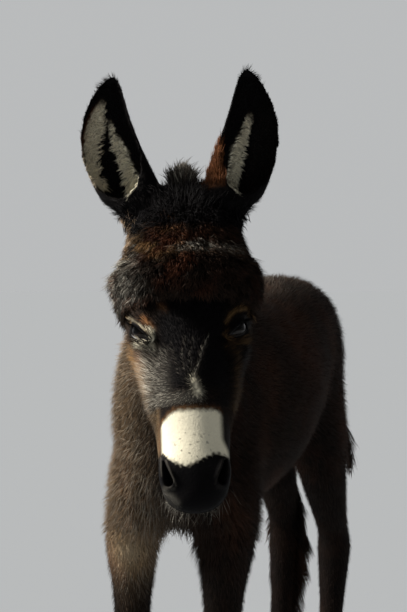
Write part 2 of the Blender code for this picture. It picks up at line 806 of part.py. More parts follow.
def nostril_cutters():
    """Comma-shaped hollows: a round lower part, and a narrow upper part bent inwards."""
    cutters = []
    for sign in (-1, 1):
        for along, across, out, sizes in (
            (0.291, 0.0255, 0.024, (0.0066, 0.0080, 0.0130)),
            (0.281, 0.0235, 0.029, (0.0040, 0.0090, 0.0110)),
        ):
            turn = HEAD_TURN @ Matrix.Rotation(sign * math.radians(38), 3, "Y")
            turn = turn @ Matrix.Rotation(sign * math.radians(22), 3, "Z")
            centre = in_head(along, sign * across, out)
            cutters.append(ball("nostril", centre, sizes, turn, 2))
    return cutters


def mouth_cutter():
    """A thin curved slot from the front of the lips to their corners on both sides."""
    route = [(0.262, -0.0160), (0.275, -0.0135), (0.290, -0.0115), (0.305, -0.0090), (0.332, -0.004)]
    below = [in_head(along, 0.0, out - MOUTH_SLOT / 2) for along, out in route]
    above = [in_head(along, 0.0, out + MOUTH_SLOT / 2) for along, out in route[1:]]
    return prism("mouth", below + above[::-1], ACROSS * MUZZLE_HALF * 1.4)


def make_ear(sign, name):
    """A leaf-shaped ear hollowed into a cup that opens forwards above its closed base."""
    side = ear_axes(sign)[2]
    ear = tube(name, ear_rows(sign, ear_outline()[2:]), side, around=20, between=2)
    hollow_outline = [
        (0.03, 0.004, 0.004, 0.004),
        (0.10, 0.015, 0.022, 0.010),
        (0.22, EAR_HALF - 0.0075, 0.034, 0.0155),
        (0.40, EAR_HALF - 0.0042, 0.040, 0.0160),
        (0.60, 0.0256, 0.040, 0.0128),
        (0.79, 0.0172, 0.036, 0.0080),
        (0.92, 0.0085, 0.030, 0.0038),
        (0.97, 0.0030, 0.020, 0.0010),
    ]
    cutter = tube("hollow", ear_rows(sign, hollow_outline), side, around=16, between=2)
    boolean(ear, [cutter], "DIFFERENCE")
    trim(ear, [beyond(ear_cut(sign))])
    return ear


def ear_room(sign):
    """The space of the ear and a little more, which hair on the head keeps clear of."""
    outline = [(share, half + 0.001, front + 0.001, back + 0.001)
               for share, half, front, back in ear_outline()[2:]]
    room = tube("ear_room", ear_rows(sign, outline), ear_axes(sign)[2], around=20, between=2)
    point, up = ear_cut(sign)
    builder = builder_of(room)
    cut_off(builder, point - up * (GAP / 4), -up)
    builder.to_mesh(room.data)
    builder.free()
    return room


def make_head(flesh):
    """The head with its crown and hair, cut for the eyes, nostrils and mouth."""
    ears = [ear_cut(sign) for sign in (-1, 1)]
    head = rough_part(flesh, "head", [beyond(HEAD_CUT), *ears], HEAD_TRIANGLES)
    trim(head, ears)
    crown = ball("crown", in_head(-0.012, 0.0, 0.008), (0.020, 0.028, 0.024), HEAD_TURN)
    boolean(head, [crown], "UNION")
    skin = skin_of(head)
    boolean(head, wool_locks(skin) + crown_locks(skin), "UNION")
    eyes = []
    cutters = [ear_room(sign) for sign in (-1, 1)] + nostril_cutters() + [mouth_cutter()]
    for side, sign in SIDES.items():
        eye, socket, almond = make_eye(sign, "eye_" + side)
        eyes.append(eye)
        cutters += [socket, almond]
    boolean(head, cutters, "DIFFERENCE")
    return trim(head, [beyond(HEAD_CUT)]), eyes


def make_haired(flesh, name, planes, triangles, locks_for):
    """A length of the body with its long hair joined on before the exact cuts."""
    rough = rough_part(flesh, name, planes, triangles)
    boolean(rough, locks_for(rough, planes), "UNION", "MANIFOLD")
    return trim(rough, planes)


def make_hoof(leg, sign, x, y, name):
    """An upright, narrow hoof with a flat sole on the floor."""
    aside, behind = stance(leg, sign, CORONET_Z)
    x = sign * x + aside
    y += behind
    builder = bmesh.new()
    rings = []
    for z, side, front, back in (
        (0.0, 0.0262, 0.0370, 0.0250),
        (0.0025, 0.0270, 0.0372, 0.0256),
        (CORONET_Z * 0.5, 0.0258, 0.0325, 0.0258),
        (CORONET_Z - 0.004, 0.0246, 0.0285, 0.0262),
        (CORONET_Z - GAP / 2, 0.0232, 0.0266, 0.0246),
    ):
        ring = []
        for k in range(20):
            angle = 2 * math.pi * k / 20
            c = rounded(math.cos(angle), 0.9)
            s = rounded(math.sin(angle), 0.9)
            ring.append(builder.verts.new((x + side * c, y - s * (front if s > 0 else back), z)))
        rings.append(ring)
    for first, second in zip(rings, rings[1:]):
        for k in range(20):
            j = (k + 1) % 20
            builder.faces.new((first[k], first[j], second[j], second[k]))
    builder.faces.new(rings[0])
    builder.faces.new(list(reversed(rings[-1])))
    return object_from(name, builder)


def main():
    clear_scene()
    pieces = trunk_pieces()
    pieces += [foreleg_piece(sign) for sign in (-1, 1)]
    pieces += [hindleg_piece(sign) for sign in (-1, 1)]
    pieces.append(neck_piece())
    pieces += head_pieces()
    pieces += hair_cores()
    pieces.append(tube("tail", tail_rows(), LEFT, around=16))
    flesh = join_flesh(pieces)
    head, eyes = make_head(flesh)
    neck = make_haired(flesh, "neck", [HEAD_CUT, beyond(NECK_CUT)], NECK_TRIANGLES, mane_locks)
    torso_cuts = [NECK_CUT, LEG_CUT, HEAD_CUT, TAIL_CUT]
    torso = make_haired(flesh, "torso", torso_cuts, TORSO_TRIANGLES, mane_locks)
    below_tail = (Vector((0.0, 0.0, TAIL_TIP.z - 0.03)), -UP)
    tail = make_haired(
        flesh, "tail", [beyond(TAIL_CUT), below_tail], TAIL_TRIANGLES,
        lambda rough, planes: brush_locks(skin_of(rough)),
    )
    for obj in (head, neck, torso):
        paint(obj, COAT_COLOUR, 0.9)
    paint(tail, COAT_COLOUR, 0.85)
    middle = (Vector((0, 0.03, 0)), BACK)
    coronet = (Vector((0, 0, CORONET_Z)), -UP)
    for side, sign in SIDES.items():
        inner = (Vector((LEGS_MIDDLE, 0, 0)), LEFT * -sign)
        for name, cut in (("foreleg_", middle), ("hindleg_", beyond(middle))):
            planes = [beyond(LEG_CUT), inner, cut, coronet]
            paint(part_of(flesh, name + side, planes, LEG_TRIANGLES), COAT_COLOUR, 0.9)
        paint(make_ear(sign, "ear_" + side), COAT_COLOUR, 0.9)
        for hoof in (
            make_hoof("foreleg", sign, FORE_X, FORE_Y - HOOF_STEP, "hoof_fore_" + side),
            make_hoof("hindleg", sign, HIND_X, HIND_Y + 0.028, "hoof_hind_" + side),
        ):
            paint(hoof, HORN_COLOUR, 0.6)
    for eye in eyes:
        paint(eye, EYE_COLOUR, 0.1)
    bpy.data.objects.remove(flesh, do_unlink=True)
    for obj in bpy.data.objects:
        obj.data.shade_smooth()
        obj.data.set_sharp_from_angle(angle=math.radians(50))
    place_over_origin()


def place_over_origin():
    """Sets the floor under the middle of the whole animal at the origin."""
    corners = [vert.co for obj in bpy.data.objects for vert in obj.data.vertices]
    low = [min(corner[k] for corner in corners) for k in range(3)]
    high = [max(corner[k] for corner in corners) for k in range(3)]
    shift = Vector((-(low[0] + high[0]) / 2, -(low[1] + high[1]) / 2, -low[2]))
    for obj in bpy.data.objects:
        obj.data.transform(Matrix.Translation(shift))


main()
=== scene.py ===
# %% [markdown]
# # A miniature donkey foal, life size
# A foal of two to three months stands about 0.70 m high at the withers. Its coat is a dark,
# woolly brown, its brow is shaggy, and a cream band crosses its nose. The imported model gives
# the size and place of every part. This lesson dresses it: one skin, then eyes and hooves,
# then the coat, tuft by tuft.

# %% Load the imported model
import math

import bmesh
import bpy
import numpy as np
from mathutils import Matrix, Vector
from mathutils.kdtree import KDTree


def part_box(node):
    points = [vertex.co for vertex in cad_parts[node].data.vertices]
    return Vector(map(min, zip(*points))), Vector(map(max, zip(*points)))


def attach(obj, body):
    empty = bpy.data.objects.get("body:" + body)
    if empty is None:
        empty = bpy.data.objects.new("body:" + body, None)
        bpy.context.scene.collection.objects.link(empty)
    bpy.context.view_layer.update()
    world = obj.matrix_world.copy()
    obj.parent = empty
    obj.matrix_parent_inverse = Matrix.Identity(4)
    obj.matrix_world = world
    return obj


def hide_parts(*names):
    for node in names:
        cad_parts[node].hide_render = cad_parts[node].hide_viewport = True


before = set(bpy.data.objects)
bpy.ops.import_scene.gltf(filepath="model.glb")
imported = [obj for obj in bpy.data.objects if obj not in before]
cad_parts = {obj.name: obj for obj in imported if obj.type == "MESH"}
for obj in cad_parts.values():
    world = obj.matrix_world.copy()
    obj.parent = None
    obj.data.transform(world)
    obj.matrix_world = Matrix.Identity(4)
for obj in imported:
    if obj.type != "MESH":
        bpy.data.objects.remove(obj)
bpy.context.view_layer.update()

# %% [markdown]
# The animal is drawn in a frame of its own: the floor at zero, the body along Y with the head
# towards -Y, its left side at +X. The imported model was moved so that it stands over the
# origin. The left fore hoof is a fixed, simple shape, so its box tells how far it was moved.

# %% Where the foal's own frame lies
FORE_X = 0.061
FORE_Y = -0.165
FORE_LEAN = -0.012
HOOF_STEP = 0.020
HOOF_TOE = 0.0372
hoof_low, hoof_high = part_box("hoof_fore_left")
SHIFT = Vector((
    (hoof_low[0] + hoof_high[0]) / 2 - FORE_X - FORE_LEAN,
    hoof_low[1] - (FORE_Y - HOOF_STEP - HOOF_TOE),
    0.0,
))
print("the foal's frame is moved by", [round(value, 4) for value in SHIFT])

# %% [markdown]
# ## Camera
# The picture was taken from a little ahead of the foal's left shoulder and from above its
# head's height. A 70 mm lens on a 36 mm high frame gives its narrow view, without distortion.

# %% Camera
VIEW_TURN = math.radians(21)
VIEW_DOWN = math.radians(5.1)
camera = bpy.data.objects.new("camera", bpy.data.cameras.new("camera"))
bpy.context.scene.collection.objects.link(camera)
camera.data.sensor_fit = "VERTICAL"
camera.data.sensor_height = 36.0
camera.data.lens = 70.0
look = Vector((
    -math.sin(VIEW_TURN) * math.cos(VIEW_DOWN),
    math.cos(VIEW_TURN) * math.cos(VIEW_DOWN),
    -math.sin(VIEW_DOWN),
))
camera.location = Vector((0.5365, -1.5072, 0.80)) + SHIFT
camera.rotation_mode = "QUATERNION"
camera.rotation_quaternion = look.to_track_quat("-Z", "Y")
bpy.context.scene.camera = camera

# %% [markdown]
# ## Colours and nodes
# Colours are read as sRGB hex values, as a painter's tool shows them, but shaders count in
# linear light, so one function turns them. Another adds a node to a material, with its
# settings and its links in one go.

# %% Helpers for materials and pieces


def linear(code):
    """An sRGB hex colour as the linear numbers that shaders use."""
    channels = [int(code[k:k + 2], 16) / 255 for k in (0, 2, 4)]
    turned = [c / 12.92 if c <= 0.04045 else ((c + 0.055) / 1.055) ** 2.4 for c in channels]
    return (*turned, 1.0)


def add(tree, kind, settings=None, links=None):
    """One node, with properties or input values set and its inputs linked."""
    node = tree.nodes.new(kind)
    for key, value in (settings or {}).items():
        if isinstance(key, str) and hasattr(node, key):
            setattr(node, key, value)
        else:
            node.inputs[key].default_value = value
    for key, socket in (links or {}).items():
        tree.links.new(socket, node.inputs[key])
    return node


def new_material(name):
    """An empty node material with its surface shader, which is returned too."""
    material = bpy.data.materials.new(name)
    material.use_nodes = True
    tree = material.node_tree
    tree.nodes.clear()
    shader = add(tree, "ShaderNodeBsdfPrincipled")
    add(tree, "ShaderNodeOutputMaterial", links={"Surface": shader.outputs["BSDF"]})
    return material, tree, shader


def settle(obj, material, slot, *nodes):
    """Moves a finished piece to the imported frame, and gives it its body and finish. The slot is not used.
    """
    obj.data.transform(Matrix.Translation(SHIFT))
    obj.data.materials.clear()
    obj.data.materials.append(material)
    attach(obj, "root")
    if nodes:
        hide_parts(*nodes)
    print(obj.name, "has", sum(len(face.vertices) - 2 for face in obj.data.polygons), "triangles")


# %% [markdown]
# ## Driving sizes
# These repeat the sizes that the solids were made from, so that the skin follows them. Heights
# count from the floor, and the head has its own directions, measured from the poll between
# the ears: along the face, across it to the foal's left, and out of it.

# %% Sizes of the body
WITHERS_Z = 0.695
CROUP_Z = 0.695
BACK_Z = 0.675
STERNUM_Z = 0.387
BELLY_Z = 0.402
FLANK_Z = 0.437
ELBOW_Z = 0.42
KNEE_Z = 0.245
STIFLE_Z = 0.44
HOCK_Z = 0.255
FETLOCK_Z = 0.085
CORONET_Z = 0.036
BREAST_Y = -0.262
HIND_Y = 0.225
BUTTOCK_Y = 0.318
HIND_X = 0.058
HIND_LEAN = 0.010
RIGHT_HIND_BACK = 0.050
RIGHT_HIND_IN = 0.020
CHEST_HALF = 0.090
BARREL_HALF = 0.115
HIP_HALF = 0.100
DOCK_Z = 0.650
MANE_HEIGHT = 0.046

# %% Sizes of the head
POLL = Vector((0.0646, -0.3372, 0.790))
HEAD_LENGTH = 0.318
HEAD_YAW = math.radians(21.7)
HEAD_NOD = math.radians(24.5)
HEAD_ROLL = math.radians(2.3)
BROW_HALF = 0.066
MUZZLE_HALF = 0.0345
EYE_ALONG = 0.144
EYE_ACROSS = 0.0395
EYE_OUT = 0.0230
EYE_RADIUS = 0.0172
EYE_ASIDE = math.radians(50)
EYE_HALF = 0.0150
EYE_UPPER = 0.0042
EYE_LOWER = 0.0068
EYE_SLANT = math.radians(50)
EAR_ACROSS = 0.047
EAR_LENGTH = {-1: 0.1345, 1: 0.138}
EAR_HALF = 0.0345
EAR_SPLAY = {-1: math.radians(8.5), 1: math.radians(5.5)}
EAR_FORWARD = math.radians(3)
EAR_TURN = math.radians(16)
EAR_PLANE_UP = 0.008
EAR_BOW = {-1: 0.0190, 1: 0.0155}
SIDES = {"right": -1, "left": 1}

UP = Vector((0.0, 0.0, 1.0))
LEFT = Vector((1.0, 0.0, 0.0))
AHEAD = Vector((math.sin(HEAD_YAW), -math.cos(HEAD_YAW), 0.0))
OUT = AHEAD * math.cos(HEAD_NOD) + UP * math.sin(HEAD_NOD)
HEAD_SPIN = Matrix.Rotation(HEAD_ROLL, 3, OUT)
ALONG = HEAD_SPIN @ (AHEAD * math.sin(HEAD_NOD) - UP * math.cos(HEAD_NOD))
ACROSS = HEAD_SPIN @ UP.cross(AHEAD)
HEAD_TURN = Matrix((ACROSS, ALONG, OUT)).transposed()
HEAD_CUT = Vector((0.053, -0.300, 0.700))


def in_head(along, across, out):
    """A point given in the head's own directions."""
    return POLL + ALONG * along + ACROSS * across + OUT * out


print("the face points along", [round(value, 2) for value in ALONG])

# %% [markdown]
# ## Rough flesh
# A body is easiest to build as overlapping simple masses: tubes lofted through rows of
# sections for the trunk, legs, neck and skull, and balls for the single muscles. Sculpting
# would give the same, but sections with real sizes can be checked and changed.

# %% Tubes and balls


def object_from(name, builder):
    """A linked mesh object whose faces all point out."""
    bmesh.ops.recalc_face_normals(builder, faces=builder.faces)
    mesh = bpy.data.meshes.new(name)
    builder.to_mesh(mesh)
    builder.free()
    obj = bpy.data.objects.new(name, mesh)
    bpy.context.scene.collection.objects.link(obj)
    return obj


def smooth_rows(rows, between):
    """Rows of numbers joined by a cubic curve through them, spaced by their centres."""
    where = [0.0]
    for first, second in zip(rows, rows[1:]):
        step = (Vector(second[:3]) - Vector(first[:3])).length
        where.append(where[-1] + max(step, 1e-4))
    slopes = []
    for i in range(len(rows)):
        low, high = max(i - 1, 0), min(i + 1, len(rows) - 1)
        span = where[high] - where[low]
        slopes.append([(b - a) / span for a, b in zip(rows[low], rows[high])])
    out = []
    for i in range(len(rows) - 1):
        span = where[i + 1] - where[i]
        for k in range(between):
            t = k / between
            start = 2 * t**3 - 3 * t**2 + 1
            leave = t**3 - 2 * t**2 + t
            arrive = t**3 - t**2
            out.append([
                start * p + leave * span * m + (1 - start) * q + arrive * span * n
                for p, q, m, n in zip(rows[i], rows[i + 1], slopes[i], slopes[i + 1])
            ])
    out.append(list(rows[-1]))
    return out


def rounded(value, power):
    return math.copysign(abs(value) ** power, value)


def tube(name, rows, side, around=36, between=6, squareness=1.0):
    """A closed body through rows of x, y, z, half side, half front and half back."""
    rows = smooth_rows(rows, between)
    builder = bmesh.new()
    rings = []
    for i, row in enumerate(rows):
        here = Vector(row[:3])
        before = Vector(rows[max(i - 1, 0)][:3])
        after = Vector(rows[min(i + 1, len(rows) - 1)][:3])
        travel = (after - before).normalized()
        across = (side - travel * side.dot(travel)).normalized()
        front = across.cross(travel).normalized()
        ring = []
        for k in range(around):
            angle = 2 * math.pi * k / around
            c = rounded(math.cos(angle), squareness)
            s = rounded(math.sin(angle), squareness)
            depth = row[4] if s > 0 else row[5]
            ring.append(builder.verts.new(here + across * row[3] * c + front * depth * s))
        rings.append(ring)
    for first, second in zip(rings, rings[1:]):
        for k in range(around):
            j = (k + 1) % around
            builder.faces.new((first[k], first[j], second[j], second[k]))
    builder.faces.new(rings[0])
    builder.faces.new(list(reversed(rings[-1])))
    return object_from(name, builder)


def ball(name, centre, sizes, turn=None, fineness=4):
    """An ellipsoid of three half sizes, turned by a 3x3 matrix."""
    builder = bmesh.new()
    bmesh.ops.create_icosphere(builder, subdivisions=fineness, radius=1.0)
    spin = (turn or Matrix.Identity(3)).to_4x4()
    place = Matrix.Translation(centre) @ spin @ Matrix.Diagonal((*sizes, 1.0))
    bmesh.ops.transform(builder, matrix=place, verts=builder.verts)
    return object_from(name, builder)


# %% Trunk


def trunk_pieces():
    """Chest, barrel and croup, with the shoulder and haunch muscles on each side."""
    profile = [
        (BREAST_Y, 0.590, 0.470, 0.045),
        (BREAST_Y + 0.020, 0.625, 0.430, 0.074),
        (-0.200, 0.664, 0.400, 0.084),
        (-0.140, WITHERS_Z - 0.003, STERNUM_Z, CHEST_HALF),
        (-0.060, 0.684, STERNUM_Z + 0.002, 0.105),
        (0.030, BACK_Z, BELLY_Z, BARREL_HALF),
        (0.115, 0.683, FLANK_Z, 0.108),
        (0.190, CROUP_Z, 0.472, HIP_HALF),
        (0.255, 0.683, 0.498, 0.088),
        (BUTTOCK_Y - 0.022, 0.650, 0.520, 0.070),
        (BUTTOCK_Y, 0.612, 0.545, 0.036),
    ]
    rows = []
    for y, top, bottom, half in profile:
        middle = bottom + 0.55 * (top - bottom)
        rows.append((0.0, y, middle, half, top - middle, middle - bottom))
    pieces = [tube("trunk", rows, LEFT, around=64, squareness=0.93)]
    blade = Matrix.Rotation(math.radians(24), 3, "X")
    for sign in (-1, 1):
        pieces.append(ball("shoulder", (sign * 0.041, -0.168, 0.548), (0.046, 0.070, 0.128), blade))
        pieces.append(ball("arm", (sign * 0.051, -0.176, 0.462), (0.043, 0.072, 0.080)))
        pieces.append(ball("haunch", (sign * 0.046, 0.215, 0.560), (0.056, 0.100, 0.116)))
        pieces.append(ball("thigh", (sign * 0.052, 0.216, 0.480), (0.050, 0.092, 0.100)))
    return pieces


# %% Legs, neck and tail


def stance(name, sign, z):
    """How far a leg leans aside and back at a height, as the foal shifts its weight."""
    share = min(1.0, max(0.0, (0.50 - z) / 0.14))
    if name == "foreleg":
        return FORE_LEAN * share, 0.0
    back = RIGHT_HIND_BACK if sign < 0 else 0.0
    return (HIND_LEAN + (RIGHT_HIND_IN if sign < 0 else 0.0)) * share, back * share


def leg_piece(name, sign):
    """A leg through sections given for the left side, from inside the trunk to the hoof."""
    toe = FORE_Y - HOOF_STEP
    rows = {"foreleg": [
        (0.058, FORE_Y, 0.500, 0.040, 0.058, 0.058),
        (0.062, FORE_Y, ELBOW_Z, 0.041, 0.050, 0.056),
        (FORE_X + 0.002, FORE_Y - 0.002, 0.372, 0.038, 0.043, 0.044),
        (FORE_X, FORE_Y - 0.004, 0.318, 0.030, 0.033, 0.033),
        (FORE_X, FORE_Y - 0.006, 0.278, 0.0265, 0.028, 0.028),
        (FORE_X, FORE_Y - 0.008, KNEE_Z, 0.031, 0.031, 0.029),
        (FORE_X, FORE_Y - 0.006, 0.212, 0.0255, 0.025, 0.027),
        (FORE_X, FORE_Y - 0.004, 0.150, 0.0205, 0.021, 0.024),
        (FORE_X, FORE_Y - 0.004, 0.108, 0.0215, 0.022, 0.027),
        (FORE_X, FORE_Y - 0.006, FETLOCK_Z, 0.0255, 0.025, 0.031),
        (FORE_X, FORE_Y - 0.014, 0.060, 0.0215, 0.023, 0.024),
        (FORE_X, toe, CORONET_Z, 0.0245, 0.028, 0.027),
        (FORE_X, toe, CORONET_Z - 0.014, 0.024, 0.027, 0.026),
    ], "hindleg": [
        (0.052, HIND_Y - 0.005, 0.560, 0.046, 0.078, 0.078),
        (0.056, HIND_Y - 0.005, 0.490, 0.048, 0.082, 0.080),
        (0.057, HIND_Y, STIFLE_Z - 0.01, 0.045, 0.074, 0.068),
        (0.057, HIND_Y + 0.014, 0.370, 0.037, 0.052, 0.050),
        (HIND_X, HIND_Y + 0.038, 0.318, 0.030, 0.036, 0.037),
        (HIND_X, HIND_Y + 0.058, 0.280, 0.0265, 0.029, 0.035),
        (HIND_X, HIND_Y + 0.064, HOCK_Z, 0.029, 0.031, 0.040),
        (HIND_X, HIND_Y + 0.062, 0.222, 0.0265, 0.029, 0.032),
        (HIND_X, HIND_Y + 0.052, 0.155, 0.0215, 0.022, 0.025),
        (HIND_X, HIND_Y + 0.047, 0.108, 0.0220, 0.022, 0.027),
        (HIND_X, HIND_Y + 0.043, FETLOCK_Z, 0.0255, 0.025, 0.031),
        (HIND_X, HIND_Y + 0.034, 0.060, 0.0215, 0.023, 0.024),
        (HIND_X, HIND_Y + 0.028, CORONET_Z, 0.0245, 0.028, 0.027),
        (HIND_X, HIND_Y + 0.028, CORONET_Z - 0.014, 0.024, 0.027, 0.026),
    ]}[name]
    placed = []
    for x, y, z, side, front, back in rows:
        aside, behind = stance(name, sign, z)
        placed.append((sign * x + aside, y + behind, z, side, front, back))
    return tube(name, placed, -LEFT, around=32)


NECK_ROWS = [
    (0.000, -0.100, 0.570, 0.070, 0.108, 0.118),
    (0.003, -0.170, 0.612, 0.060, 0.092, 0.112),
    (0.014, -0.226, 0.662, 0.058, 0.078, 0.092),
    (0.034, -0.276, 0.708, 0.057, 0.070, 0.074),
    (0.056, -0.320, 0.744, 0.052, 0.060, 0.058),
]
CREST_ROWS = [
    (-0.004, -0.085, 0.690, 0.25 * MANE_HEIGHT),
    (0.000, -0.150, 0.712, 0.75 * MANE_HEIGHT),
    (0.012, -0.205, 0.742, 0.92 * MANE_HEIGHT),
    (0.028, -0.258, 0.778, MANE_HEIGHT),
    (0.050, -0.306, 0.806, 0.80 * MANE_HEIGHT),
    (0.062, -0.330, 0.822, 0.45 * MANE_HEIGHT),
]
TAIL_ROWS = [
    (0.000, BUTTOCK_Y - 0.045, DOCK_Z + 0.006, 0.018, 0.015, 0.016),
    (0.000, BUTTOCK_Y - 0.006, DOCK_Z, 0.017, 0.015, 0.016),
    (0.003, BUTTOCK_Y + 0.024, DOCK_Z - 0.020, 0.016, 0.014, 0.014),
    (0.012, BUTTOCK_Y + 0.036, 0.585, 0.0145, 0.013, 0.013),
    (0.030, BUTTOCK_Y + 0.040, 0.515, 0.0140, 0.013, 0.013),
    (0.050, BUTTOCK_Y + 0.043, 0.450, 0.0130, 0.012, 0.012),
    (0.066, BUTTOCK_Y + 0.045, 0.400, 0.0105, 0.010, 0.010),
    (0.073, BUTTOCK_Y + 0.045, 0.378, 0.0060, 0.006, 0.006),
]

# %% Skull


def head_pieces():
    """Skull and nose from poll to lips, with cheeks, brows and the masses of the muzzle."""
    profile = [
        (-0.024, 0.030, 0.012, 0.030),
        (0.000, 0.050, 0.036, 0.048),
        (0.040, 0.061, 0.055, 0.058),
        (0.085, BROW_HALF + 0.002, 0.061, 0.068),
        (0.115, BROW_HALF + 0.004, 0.058, 0.071),
        (0.142, BROW_HALF - 0.002, 0.052, 0.068),
        (0.172, 0.0525, 0.046, 0.060),
        (0.205, 0.0445, 0.041, 0.049),
        (0.245, 0.0385, 0.037, 0.039),
        (0.280, MUZZLE_HALF + 0.001, 0.035, 0.033),
        (0.304, MUZZLE_HALF - 0.002, 0.028, 0.028),
        (HEAD_LENGTH, 0.021, 0.012, 0.016),
    ]
    rows = [(*in_head(s, 0.0, 0.0), half, out, behind) for s, half, out, behind in profile]
    pieces = [tube("skull", rows, -ACROSS, around=56, squareness=0.92)]
    for sign in (-1, 1):
        cheek = in_head(0.112, sign * 0.031, -0.036)
        pieces.append(ball("cheek", cheek, (0.024, 0.060, 0.048), HEAD_TURN))
        brow = in_head(EYE_ALONG - 0.012, sign * 0.046, 0.028)
        pieces.append(ball("brow", brow, (0.021, 0.028, 0.021), HEAD_TURN))
        wing = in_head(0.284, sign * 0.022, 0.014)
        pieces.append(ball("nostril_wing", wing, (0.0155, 0.019, 0.020), HEAD_TURN))
    pieces.append(ball("upper_lip", in_head(0.303, 0, 0.006), (0.029, 0.0205, 0.024), HEAD_TURN))
    pieces.append(ball("chin", in_head(0.292, 0, -0.023), (0.022, 0.024, 0.016), HEAD_TURN))
    pieces.append(ball("crown", in_head(-0.012, 0.0, 0.008), (0.020, 0.028, 0.024), HEAD_TURN))
    pieces.append(ball("brow_wool", in_head(0.090, 0.0, 0.009), (0.0765, 0.050, 0.0605), HEAD_TURN))
    return pieces


# %% Ears


def ear_axes(sign):
    """The ear's own directions: up its length, the way it opens, and its side."""
    up = UP * math.cos(EAR_SPLAY[sign]) + ACROSS * (sign * math.sin(EAR_SPLAY[sign]))
    up = (up + AHEAD * math.tan(EAR_FORWARD)).normalized()
    opens = AHEAD * math.cos(EAR_TURN) + ACROSS * (sign * math.sin(EAR_TURN))
    opens = (opens - up * opens.dot(up)).normalized()
    return up, opens, up.cross(opens)


def ear_foot(sign):
    return in_head(0.002, sign * EAR_ACROSS, 0.004) + ear_axes(sign)[0] * EAR_PLANE_UP


def ear_middle(sign, share):
    """A point on the ear's middle line, which bows outwards and nods forwards at its tip."""
    up, opens = ear_axes(sign)[:2]
    if share > 0:
        bow = EAR_BOW[sign] * math.sin(math.pi * share)
    else:
        bow = EAR_BOW[sign] * math.pi * share
    outwards = ACROSS * (sign * bow)
    return ear_foot(sign) + up * (EAR_LENGTH[sign] * share) + outwards + opens * (0.010 * share * share)


def ear_rows(sign, outline):
    return [(*ear_middle(sign, share), half, front, back) for share, half, front, back in outline]


def ear_piece(sign):
    """A leaf-shaped cup: the whole ear less its hollow, which opens forwards."""
    outline = [
        (-0.36, 0.0170, 0.0170, 0.0170),
        (-0.20, 0.0250, 0.0200, 0.0205),
        (-0.06, EAR_HALF - 0.0035, 0.0215, 0.0225),
        (0.10, EAR_HALF - 0.0010, 0.0215, 0.0225),
        (0.25, EAR_HALF, 0.0190, 0.0220),
        (0.42, EAR_HALF - 0.0010, 0.0150, 0.0205),
        (0.62, 0.0290, 0.0110, 0.0170),
        (0.80, 0.0205, 0.0075, 0.0120),
        (0.93, 0.0115, 0.0050, 0.0070),
        (1.00, 0.0035, 0.0020, 0.0025),
    ]
    hollow = [
        (0.03, 0.004, 0.004, 0.004),
        (0.10, 0.015, 0.022, 0.010),
        (0.22, EAR_HALF - 0.0075, 0.034, 0.0155),
        (0.40, EAR_HALF - 0.0042, 0.040, 0.0160),
        (0.60, 0.0256, 0.040, 0.0128),
        (0.79, 0.0172, 0.036, 0.0080),
        (0.92, 0.0085, 0.030, 0.0038),
        (0.97, 0.0030, 0.020, 0.0010),
    ]
    side = ear_axes(sign)[2]
    ear = tube("ear", ear_rows(sign, outline), side, around=40, between=5)
    cutter = tube("hollow", ear_rows(sign, hollow), side, around=32, between=5)
    cut = ear.modifiers.new("cup", "BOOLEAN")
    cut.operation = "DIFFERENCE"
    cut.object = cutter
    apply_modifiers(ear)
    bpy.data.objects.remove(cutter, do_unlink=True)
    return ear


def apply_modifiers(obj):
    """Replaces the object's mesh by what its modifiers make of it."""
    bpy.context.view_layer.update()
    graph = bpy.context.evaluated_depsgraph_get()
    made = bpy.data.meshes.new_from_object(obj.evaluated_get(graph))
    obj.modifiers.clear()
    old = obj.data
    obj.data = made
    bpy.data.meshes.remove(old)


# %% [markdown]
# ## One skin
# The masses are joined and wrapped in one even net of small squares by a voxel remesh, then
# softened so that they flow into each other. Thin ears would shrink if they were softened as
# much, so each point has its own share of it.

# %% Wrap the masses in one skin
VOXEL = 0.0030
SOFTENING = 31
EAR_SOFTENING = 5
TRUNK_SOFTENING = 102

pieces = trunk_pieces() + head_pieces()
pieces += [leg_piece(name, sign) for name in ("foreleg", "hindleg") for sign in (-1, 1)]
pieces.append(tube("neck", NECK_ROWS, -ACROSS, around=48))
crest = [(x, y, z, 0.013, height * 0.35, 0.036) for x, y, z, height in CREST_ROWS]
pieces.append(tube("crest", crest, -ACROSS, around=24))
pieces.append(tube("tail", TAIL_ROWS, LEFT, around=24))
pieces += [ear_piece(sign) for sign in (-1, 1)]

builder = bmesh.new()
for piece in pieces:
    builder.from_mesh(piece.data)
    bpy.data.objects.remove(piece, do_unlink=True)
flesh = object_from("flesh", builder)
wrap = flesh.modifiers.new("even_skin", "REMESH")
wrap.mode = "VOXEL"
wrap.voxel_size = VOXEL
apply_modifiers(flesh)
print("wrapped skin has", len(flesh.data.vertices), "points")

# %% [markdown]
# Points are handled as whole arrays of numbers, which is a hundred times faster than one at
# a time. These few functions say where each point lies: on the head, an ear, a leg or the tail.

# %% Fields over the body
axis = {name: np.array(value) for name, value in
        (("along", ALONG), ("across", ACROSS), ("out", OUT), ("ahead", AHEAD), ("up", UP))}


def ramp(values, start, end):
    """A smooth step from none at start to one at end."""
    t = np.clip((values - start) / (end - start), 0.0, 1.0)
    return t * t * (3 - 2 * t)


def dot(a, b):
    return (a * b).sum(-1)


def unit(vectors):
    return vectors / np.maximum(np.linalg.norm(vectors, axis=-1, keepdims=True), 1e-9)


def head_place(points):
    """Each point's distance along the head, across it and out of it."""
    away = points - np.array(POLL)
    return away @ axis["along"], away @ axis["across"], away @ axis["out"]


def head_share(points):
    """One on the head, none behind the throat and poll."""
    return ramp((points - np.array(HEAD_CUT)) @ axis["ahead"], -0.022, 0.022)


